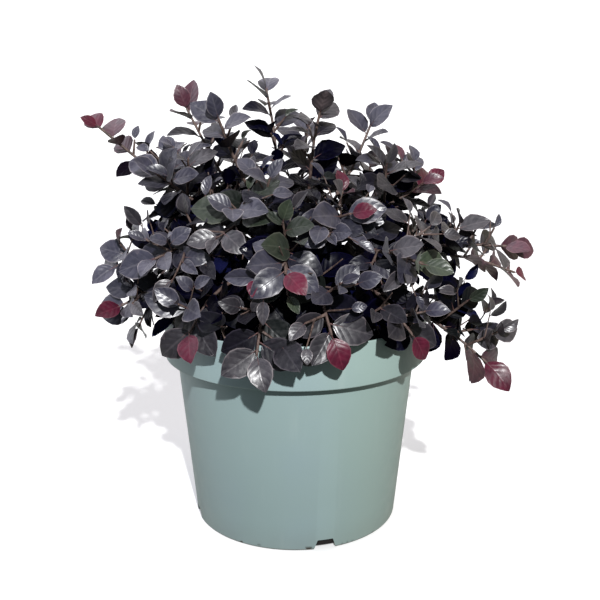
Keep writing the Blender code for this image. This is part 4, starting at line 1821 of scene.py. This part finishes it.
@dataclass
class Leaf:
    """One leaf before it becomes a mesh: where its stalk starts, its axes, its size and its shape."""

    root: Array
    direction: Array
    normal: Array
    length: float
    fold: float
    curl: float
    phase: float
    # Painted shade from -1 deep in the crown to 1 outside, random among the lit leaves
    tone: float
    kind: LeafKind


def gathered(leaves: list[Leaf], *names: str) -> list[Array]:
    """Fields of all the leaves, each as one array."""
    return [np.array([getattr(leaf, name) for leaf in leaves]) for name in names]


@dataclass(frozen=True)
class BladeShape:
    """The outline and the section of a leaf, on a grid of stations along it and columns across it."""

    width_share: float = 0.70
    egg: float = 0.92
    foot_roundness: float = 0.66
    tip_roundness: float = 0.84
    stalk_share: float = 0.09
    thickness: float = 0.00040
    dome: float = 0.42
    wave: float = 0.014
    stations: Row = (0.03, 0.13, 0.29, 0.47, 0.66, 0.83, 0.95)
    columns: Row = (-1.0, -0.5, 0.0, 0.5, 1.0)
    rim_shares: Row = (0.35, 0.65, 1.0, 0.65, 0.35, 0.22, 0.5, 0.8)
    rim_sides: Row = (1.0, 0.85, 0.0, -0.85, -1.0, 0.0, 0.0, 0.0)

    def points(self, leaves: list[Leaf]) -> Array:
        """Every leaf's points, computed as whole arrays.

        At a share t along the leaf and s across it, its half width is w = W sin(pi t^e)^r, where r runs
        from the foot's roundness to the tip's. The blade bends by the angle curl t, so it runs
        t - curl^2 t^3 / 6 forwards and curl t^2 / 2 down. Each half rises from the rib by w |s| sin(fold),
        less a dome that makes it bulge, and the rim waves by sin(4 pi t + phase).

        Args:
            leaves: the leaves.

        Returns:
            Its points, of shape (leaves, points, 3): foot, upper grid, tip, and the rib's underside.
        """
        t, s = (grid[None] for grid in np.meshgrid(self.stations, self.columns, indexing="ij"))
        names = ("root", "direction", "normal", "length", "fold", "curl", "phase")
        fields = [values[:, None, None] for values in gathered(leaves, *names)]
        root, ahead, normal, length, fold, curl, phase = fields
        across = np.cross(normal, ahead)
        roundness = self.foot_roundness + (self.tip_roundness - self.foot_roundness) * t
        half = self.width_share / 2 * np.sin(math.pi * t ** self.egg) ** roundness
        forwards = self.stalk_share + (1 - self.stalk_share) * (t - curl ** 2 * t ** 3 / 6)
        rise = half * np.abs(s) * np.sin(fold) * (1 - self.dome * np.abs(s))
        rise = rise - curl * t ** 2 / 2 + self.wave * s ** 2 * np.sin(4 * math.pi * t + phase)
        sideways = half * s * np.cos(fold)

        def placed(x: Array, y: Array, z: Array) -> Array:
            """Points from their shares x, y and z of the length along the leaf's three axes."""
            shares = (np.broadcast_to(value, rise.shape)[..., None] for value in (x, y, z))
            return root + sum(map(np.multiply, (ahead, across, normal), shares)) * length[..., None]

        upper = placed(forwards, sideways, rise)
        middle = len(self.columns) // 2
        lower = placed(forwards, sideways, rise - self.thickness / length)[:, :, middle]
        ends = []
        for share in (0.0, 1.0):
            x = self.stalk_share + (1 - self.stalk_share) * (share - curl ** 2 * share / 6)
            ends.append(placed(x, 0.0 * s, -curl * share / 2)[:, 0, :1])
        return np.concatenate([ends[0], upper.reshape(len(leaves), -1, 3), ends[1], lower], axis=1)

    def rim(self, leaf: Leaf) -> Array:
        """Points on a leaf's outline and rib, for testing.

        Args:
            leaf: the leaf.

        Returns:
            The points.
        """
        across = np.cross(leaf.normal, leaf.direction)
        shares, sides = np.array(self.rim_shares), np.array(self.rim_sides) * self.width_share / 2
        return leaf.root + (shares[:, None] * leaf.direction + sides[:, None] * across) * leaf.length

    def faces(self) -> list[Array]:
        """The faces of one closed leaf: a full upper side, and an underside from rim to rib to rim.

        Returns:
            The quads and the triangles.
        """
        rows, columns = len(self.stations), len(self.columns)
        upper = 1 + np.arange(rows * columns).reshape(rows, columns)
        tip = 1 + rows * columns
        lower = np.stack([upper[:, 0], tip + 1 + np.arange(rows), upper[:, -1]], axis=-1)
        quads, triangles = [], []
        for grid, order in ((upper, 1), (lower, -1)):
            corners = (grid[:-1, :-1], grid[1:, :-1], grid[1:, 1:], grid[:-1, 1:])
            quads.append(np.stack(corners, axis=-1).reshape(-1, 4)[:, ::order])
            pairs = grid.shape[1] - 1
            foot = np.stack([np.zeros(pairs, int), grid[0, :-1], grid[0, 1:]], axis=-1)
            end = np.stack([grid[-1, :-1], np.full(pairs, tip), grid[-1, 1:]], axis=-1)
            triangles += [foot[:, ::order], end[:, ::order]]
        return [np.vstack(quads), np.vstack(triangles)]

    def uv(self) -> Array:
        """One leaf's UV points: across it from 0 to 1, and along it from 0 at its foot to 1 at its tip.

        Returns:
            A row for each point.
        """
        t, s = np.meshgrid(self.stations, self.columns, indexing="ij")
        grid = np.stack([(s + 1) / 2, t], axis=-1)
        rib = np.stack([np.full(len(self.stations), 0.5), self.stations], axis=-1)
        return np.vstack([[[0.5, 0.0]], grid.reshape(-1, 2), [[0.5, 1.0]], rib])

    def surface(self, leaves: list[Leaf]) -> Surface:
        """All leaves of one kind as one surface.

        Args:
            leaves: the leaves.

        Returns:
            The surface, with each point's side and its leaf's painted shade level, random among the lit
            leaves, as values.
        """
        points = self.points(leaves)
        count, size = points.shape[:2]
        upper = 2 + len(self.stations) * len(self.columns)
        values = {
            "under": np.tile(np.arange(size) >= upper, count).astype(float),
            "tone": np.repeat(gathered(leaves, "tone")[0], size),
        }
        faces = [repeated_faces(group, count, size) for group in self.faces()]
        return Surface(points.reshape(-1, 3), faces, np.tile(self.uv(), (count, 1)), values)


@dataclass(frozen=True)
class StalkShape:
    """The leaf stalks: thin tubes from the shoot into the foot of each blade's rib, sunk a little there."""

    reach: float = 0.30
    drop: float = 0.00035
    widths: Row = (0.017, 0.014, 0.004)
    sides: int = 4

    def surface(self, leaves: list[Leaf]) -> Surface:
        """The stalks of all the leaves.

        Args:
            leaves: the leaves.

        Returns:
            The surface.
        """
        share = np.linspace(0.0, 1.0, len(self.widths))[None, :, None]
        fields = gathered(leaves, "root", "direction", "normal", "length")
        roots, ahead, normals, lengths = [values[:, None] for values in fields]
        run = ahead * lengths[..., None] * share * self.reach
        paths = roots + run - normals * (self.drop * share)
        return tubes(paths, lengths * np.array([self.widths]), self.sides)


@dataclass(frozen=True)
class LeafRule:
    """How leaves sit on a shoot: two ranks, crowded and small at the tip, larger and wider apart below."""

    length: float = 0.038
    sprig_length: float = 0.036
    slender_size: float = 0.72
    stem_tip_size: float = 0.78
    first_gap: float = 0.0042
    gap_growth: float = 1.30
    widest_gap: float = 0.0105
    tip_size: float = 0.55
    size_step: float = 0.16
    divergence: float = math.radians(56)
    tip_divergence: float = math.radians(24)
    roll_jitter: float = math.radians(20)
    tries: Row = (1.0, 0.86, 0.74)
    sky_pull: float = 0.40
    outward_pull: float = 0.85
    shoot_pull: float = 0.30
    sun_pull: Triple = (0.10, -0.50, 0.15)
    wand_pull: float = 2.2
    wand_from: float = 0.50
    upright: float = 0.80
    upright_azimuth: float = 350.0
    facing_jitter: float = 0.22
    angle_jitter: float = 0.12
    sun_behind: float = -0.15
    size_range: Span = (0.88, 1.10)
    young_below: float = 0.75
    young_folds: Span = (0.40, 0.90)
    folds: Span = (0.12, 0.48)
    curls: Span = (0.10, 0.80)
    light_range: Span = (0.05, 0.95)
    closed_leaves: int = 2
    leaf_reach: float = 0.034
    wood_reach: float = 0.024
    leaf_room: float = 0.0046
    wood_room: float = 0.0009
    root_reach: float = 0.008
    crown_spare: float = -0.003
    wand_spare: float = -0.010
    # Painted shade: leaves are painted fully dark inside the first depth and lit outside the second
    shade_depths: Span = (0.72, 0.90)
    # Painted light lifted for leaves with few others above them: what counts as cover, and the least level
    # by cover
    cover_radius: float = 0.015
    cover_height: float = 0.006
    cover_counts: Span = (0.0, 3.0)
    open_painted_light: Span = (0.30, -1.0)
    # The level of painted light above which a navy painted-shade leaf turns slate
    painted_shade_navy_below: float = -0.5
    seed: int = 110

    def sites(self, shoot: Shoot) -> list[Span]:
        """Where leaves sit on a shoot, from its tip down.

        Args:
            shoot: the shoot.

        Returns:
            Pairs of the share along the shoot and the leaf's size as a share of the full one.
        """
        length = row_length(shoot.points)
        made, back, gap = [], 0.0, self.first_gap
        size = self.stem_tip_size if shoot.rank is Rank.STEM else self.tip_size
        while back < length * (1 - shoot.bare):
            made.append((1 - back / length, size))
            back += gap
            gap = min(gap * self.gap_growth, self.widest_gap)
            size = min(size + self.size_step, 1.0)
        return made


@dataclass
class Foliage:
    """Places the leaves, one by one, where they have room, and builds them kind by kind."""

    room: Room
    shoots: list[Shoot]
    rule: LeafRule = LeafRule()
    shape: BladeShape = BladeShape()
    stalks: StalkShape = StalkShape()
    colours: SprayColours = SprayColours()
    leaves: list[Leaf] = field(default_factory=list)

    def __post_init__(self) -> None:
        """Notes the shoots' wood as points, and starts the rows of the placed leaves' middles and rims."""
        self.wood = np.vstack([densified(shoot.points) for shoot in self.shoots])
        self.middles = np.empty((0, 3))
        self.rims = np.empty((0, len(self.shape.rim_shares), 3))

    def facing(self, root: Array, direction: Array, heading: Array, free: bool, jitter: Array) -> Array:
        """The way a blade turns its face: to the sky, the open air, the shoot's end and the sunny side.

        Args:
            root: where the leaf starts.
            direction: the way it points.
            heading: the way its shoot runs there.
            free: whether it is on a stem's free end, where it turns more to the sun.
            jitter: a small random turn.

        Returns:
            The direction of its face.
        """
        rule = self.rule
        outward = unit(root - np.array(self.room.outline.centre))
        sun = np.array(rule.sun_pull)
        if free and outward @ sun > rule.sun_behind:
            sun = sun * rule.wand_pull
        light = UP * rule.sky_pull + outward * rule.outward_pull + heading * rule.shoot_pull
        light = light + sun + jitter
        return unit(light - direction * (light @ direction))

    def fits(self, rim: Array, root: Array, spare: float) -> bool:
        """Whether a leaf clears the pot, the limbs, the other leaves and the wood, and keeps in the crown.

        Args:
            rim: points on its outline.
            root: where it starts.
            spare: its room to the crown's outline, below 0 where it may reach past it.

        Returns:
            Whether it does.
        """
        rule = self.rule
        middle = rim.mean(axis=0)
        near = np.linalg.norm(self.middles - middle, axis=1) < rule.leaf_reach
        if near.any() and gaps_between(rim, self.rims[near].reshape(-1, 3)).min() < rule.leaf_room:
            return False
        wood = self.wood[np.linalg.norm(self.wood - middle, axis=1) < rule.wood_reach]
        wood = wood[np.linalg.norm(wood - root, axis=1) > rule.root_reach]
        if len(wood) and gaps_between(rim, wood).min() < rule.wood_room:
            return False
        return self.room.free(rim, spare)

    def place(self, shoot: Shoot, index: int, site: Span, kind: LeafKind, chance: Chance) -> None:
        """Places one leaf if it has room at one of a few sizes.

        Args:
            shoot: what bears it.
            index: its number from the shoot's tip.
            site: its share along the shoot and its size.
            kind: its colour.
            chance: random numbers.
        """
        rule = self.rule
        share, size = site
        root, heading = along(shoot.points, share), heading_along(shoot.points, share)
        upright = heading[2] > rule.upright
        outward = azimuth_heading(rule.upright_azimuth if upright else shoot.branch.azimuth)
        full = rule.sprig_length if shoot.rank is Rank.SPRIG else rule.length
        full *= chance.uniform(*rule.size_range)
        full *= rule.slender_size + (1 - rule.slender_size) * shoot.branch.fullness
        light = float(np.interp(self.room.outline.depth(root), rule.shade_depths, (0.0, 1.0)))
        closing = max(0.0, 1 - index / rule.closed_leaves)
        angle = rule.divergence + (rule.tip_divergence - rule.divergence) * closing
        free = shoot.rank is Rank.STEM and share > rule.wand_from
        for smaller in rule.tries:
            roll = (0.0 if index % 2 else math.pi) + chance.normal(0.0, rule.roll_jitter)
            direction = diverging(heading, outward, angle + chance.normal(0.0, rule.angle_jitter), roll)
            normal = self.facing(root, direction, heading, free, chance.normal(0.0, rule.facing_jitter, 3))
            fold = chance.uniform(*(rule.young_folds if size < rule.young_below else rule.folds))
            curl = chance.uniform(*rule.curls)
            # Painted shade level: -1 deep in the crown, and random among the lit leaves near its outside
            tone = chance.uniform(*rule.light_range) * light + light - 1.0
            phase = chance.uniform(0.0, math.tau)
            leaf = Leaf(root, direction, normal, full * size * smaller, fold, curl, phase, tone, kind)
            rim = self.shape.rim(leaf)
            if self.fits(rim, root, rule.wand_spare if free else rule.crown_spare):
                self.leaves.append(leaf)
                self.middles = np.vstack([self.middles, rim.mean(axis=0)])
                self.rims = np.concatenate([self.rims, rim[None]])
                return

    def grow(self) -> None:
        """Places the leaves, shoot by shoot: the stems' and twigs' first, and then the finer sprigs'."""
        chance = np.random.default_rng(self.rule.seed)
        for shoot in self.shoots:
            spray = self.colours.deal(shoot, self.room.outline.depth(shoot.points[-1]), chance)
            for index, site in enumerate(self.rule.sites(shoot)):
                self.place(shoot, index, site, spray.tip if index < spray.young else spray.body, chance)
        self.open_to_sky()

    def open_to_sky(self) -> None:
        """Paints less shade on the leaves that lie deep in the crown but have few others above them.

        A leaf is covered by each other one whose middle is higher and nearly straight above. The fewer
        cover it, the nearer its least painted shade level comes to the open one. An open navy leaf, which
        is painted shade, turns slate.
        """
        rule = self.rule
        offsets = self.middles[None] - self.middles[:, None]
        aside = np.linalg.norm(offsets[..., :2], axis=2)
        over = (aside < rule.cover_radius) & (offsets[..., 2] > rule.cover_height)
        least = np.interp(over.sum(axis=1), rule.cover_counts, rule.open_painted_light)
        for leaf, tone in zip(self.leaves, least):
            # Painted light: leaves open to the sky are painted lighter
            leaf.tone = max(leaf.tone, float(tone))
            # An open navy painted-shade leaf turns slate
            if leaf.kind is NAVY and tone > rule.painted_shade_navy_below:
                leaf.kind = SLATE

    def build(self, stalk_finish: Material, nodes: list[str]) -> None:
        """Builds the leaf stalks, and the leaves of each kind as one piece.

        Args:
            stalk_finish: the stalks' material.
            nodes: the CAD nodes that the pieces stand for.
        """
        stalks = self.stalks.surface(self.leaves).mesh_object("leaf_stalks", stalk_finish, BARK_SHARP_FROM)
        place_piece(stalks, nodes)
        for kind, finish in LEAF_FINISHES.items():
            chosen = [leaf for leaf in self.leaves if leaf.kind is kind]
            if chosen:
                leaves = self.shape.surface(chosen)
                piece = leaves.mesh_object(f"{kind.value}_leaves", finish.material(), LEAF_SHARP_FROM)
                place_piece(piece, nodes)


# The studio


@dataclass(frozen=True)
class Studio:
    """The pale floor that sweeps up at its edge, the sun and fill lights, and the camera of the photo."""

    floor_radius: float = 5.0
    floor_rise: float = 0.9
    floor_rings: int = 59
    floor_steps: int = 96
    sun_strength: float = 3.92
    sun_azimuth: float = 10.0
    sun_elevation: float = 35.0
    sun_angle: float = 1.5
    left_sky: Colour = (0.200, 0.230, 0.285)
    right_sky: Colour = (0.112, 0.134, 0.122)
    ground: Colour = (0.070, 0.071, 0.064)
    left_backdrop: Colour = (1.58, 1.56, 1.72)
    right_backdrop: Colour = (0.44, 0.385, 0.290)
    far_ground: Colour = (0.48, 0.49, 0.45)
    seen: Colour = (0.95, 0.95, 0.95)
    behind: Ramp = Ramp(-0.45, 0.10)
    rightwards: Ramp = Ramp(-0.9, 0.9)
    horizon: Ramp = Ramp(-0.12, 0.12)
    camera_place: Triple = (0.0042, -0.842, 0.418)
    camera_pitch: float = 13.83
    lens: float = 54.27
    sensor: float = 36.0

    def floor(self) -> None:
        """A round floor, level for two thirds of its radius, whose edge rises as a cosine.

        Only the camera sees it, so the light that falls on the plant from below is that of dull ground.
        """
        radii = np.linspace(0.0, self.floor_radius, self.floor_rings + 1)[1:]
        share = np.clip(radii / self.floor_radius * 3 - 2, 0.0, 1.0)
        heights = self.floor_rise * (1 - np.cos(math.pi / 2 * share))
        points = np.vstack([rings(radii, heights, self.floor_steps), np.zeros((1, 3))])
        quads = grid_faces(self.floor_rings, self.floor_steps, closed=True)
        fan = fan_faces(len(points) - 1, np.arange(self.floor_steps))
        floor = Surface(points, [quads, fan]).mesh_object("floor", FloorFinish().material())
        floor.visible_diffuse = False
        floor.visible_glossy = False
        floor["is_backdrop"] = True

    def lights(self) -> None:
        """A sun from the front right, and air that is dim in front of the plant and bright behind it."""
        sun = bpy.data.lights.new("sun", "SUN")
        sun.energy = self.sun_strength
        sun.angle = math.radians(self.sun_angle)
        tilt, turn = math.radians(90 - self.sun_elevation), math.radians(self.sun_azimuth)
        linked("sun", sun).rotation_euler = (tilt, 0.0, turn)
        world = bpy.data.worlds.new("studio")
        world.use_nodes = True
        graph = NodeGraph(world.node_tree, "Generated")
        direction = graph.add("ShaderNodeSeparateXYZ", {0: graph.coordinates}).outputs
        behind = graph.ramp(direction["Y"], self.behind)
        rightwards = graph.ramp(direction["X"], self.rightwards)
        backdrop = graph.mix(rightwards, self.left_backdrop, self.right_backdrop)
        above = graph.mix(behind, graph.mix(rightwards, self.left_sky, self.right_sky), backdrop)
        below = graph.mix(behind, self.ground, self.far_ground)
        light = graph.mix(graph.ramp(direction["Z"], self.horizon), below, above)
        is_seen = graph.add("ShaderNodeLightPath", {}).outputs["Is Camera Ray"]
        graph.feed(graph.nodes["Background"].inputs["Color"], graph.mix(is_seen, light, self.seen))
        bpy.context.scene.world = world

    def camera(self) -> None:
        """The camera, at the photo's place and angle."""
        data = bpy.data.cameras.new("camera")
        data.lens = self.lens
        data.sensor_width = self.sensor
        made = linked("camera", data)
        made.location = self.camera_place
        made.rotation_euler = (math.radians(90 - self.camera_pitch), 0.0, 0.0)
        bpy.context.scene.camera = made

    def build(self) -> None:
        """Sets up the studio."""
        self.camera()
        self.floor()
        self.lights()
        bpy.context.scene.view_settings.view_transform = "Standard"


def corners(box: tuple) -> list[list[float]]:
    """A box's two corners as plain lists of numbers."""
    return [[float(value) for value in corner] for corner in box]


CHIP_BARK = BarkFinish("chip_bark", (0.030, 0.018, 0.011), (0.085, 0.052, 0.032), (0.16, 0.11, 0.07))
LIMB_BARK = BarkFinish("bark", (0.060, 0.040, 0.028), (0.190, 0.130, 0.090), (0.30, 0.24, 0.18))
YOUNG_BARK = BarkFinish(
    "young_bark", (0.055, 0.035, 0.031), (0.155, 0.104, 0.088), (0.27, 0.20, 0.17), 0.62, 0.0003
)
STALK_BARK = BarkFinish(
    "stalk_bark", (0.085, 0.038, 0.040), (0.150, 0.078, 0.072), (0.22, 0.14, 0.12), 0.55, 0.0001
)
SHOOT_WOOD = {
    Rank.STEM: ShootWood(sides=8, rings=12, bow=0.0),
    Rank.TWIG: ShootWood(sides=6, rings=7, bow=0.012),
    Rank.SPRIG: ShootWood(sides=5, rings=5, bow=0.016),
}


def main() -> None:
    """Builds the studio, the pot, the potting mix, the wood and the foliage."""
    logging.basicConfig(level=logging.INFO, format="%(name)s: %(message)s")
    solids_box = corners(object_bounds())
    Studio().build()

    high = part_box("pot")[1]
    mix_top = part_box("potting_mix")[1].z
    pot = Pot(rim_radius=high.x, height=high.z)
    pot.build(PlasticFinish().material())
    PottingMix(pot, mix_top).build(MixFinish().material(), CHIP_BARK.material())

    trunk = Trunk(foot=mix_top + GAP)
    trunk.build(LIMB_BARK.material())
    boughs = BoughRule(trunk)
    spines = boughs.spines()
    boughs.build(spines, LIMB_BARK.material())

    room = Room(pot, mix_top, boughs, spines)
    shoots = Growth(room).all_shoots()
    masses = [f"foliage_{branch.name}" for branch in BRANCHES]
    for rank, shape in SHOOT_WOOD.items():
        chosen = [shoot for shoot in shoots if shoot.rank is rank]
        shape.build(f"{rank.value}s", chosen, YOUNG_BARK.material(), masses)
    foliage = Foliage(room, shoots)
    foliage.grow()
    foliage.build(STALK_BARK.material(), masses)

    {"solids": solids_box, "looks": corners(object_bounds())}


if __name__ == "__main__":
    main()
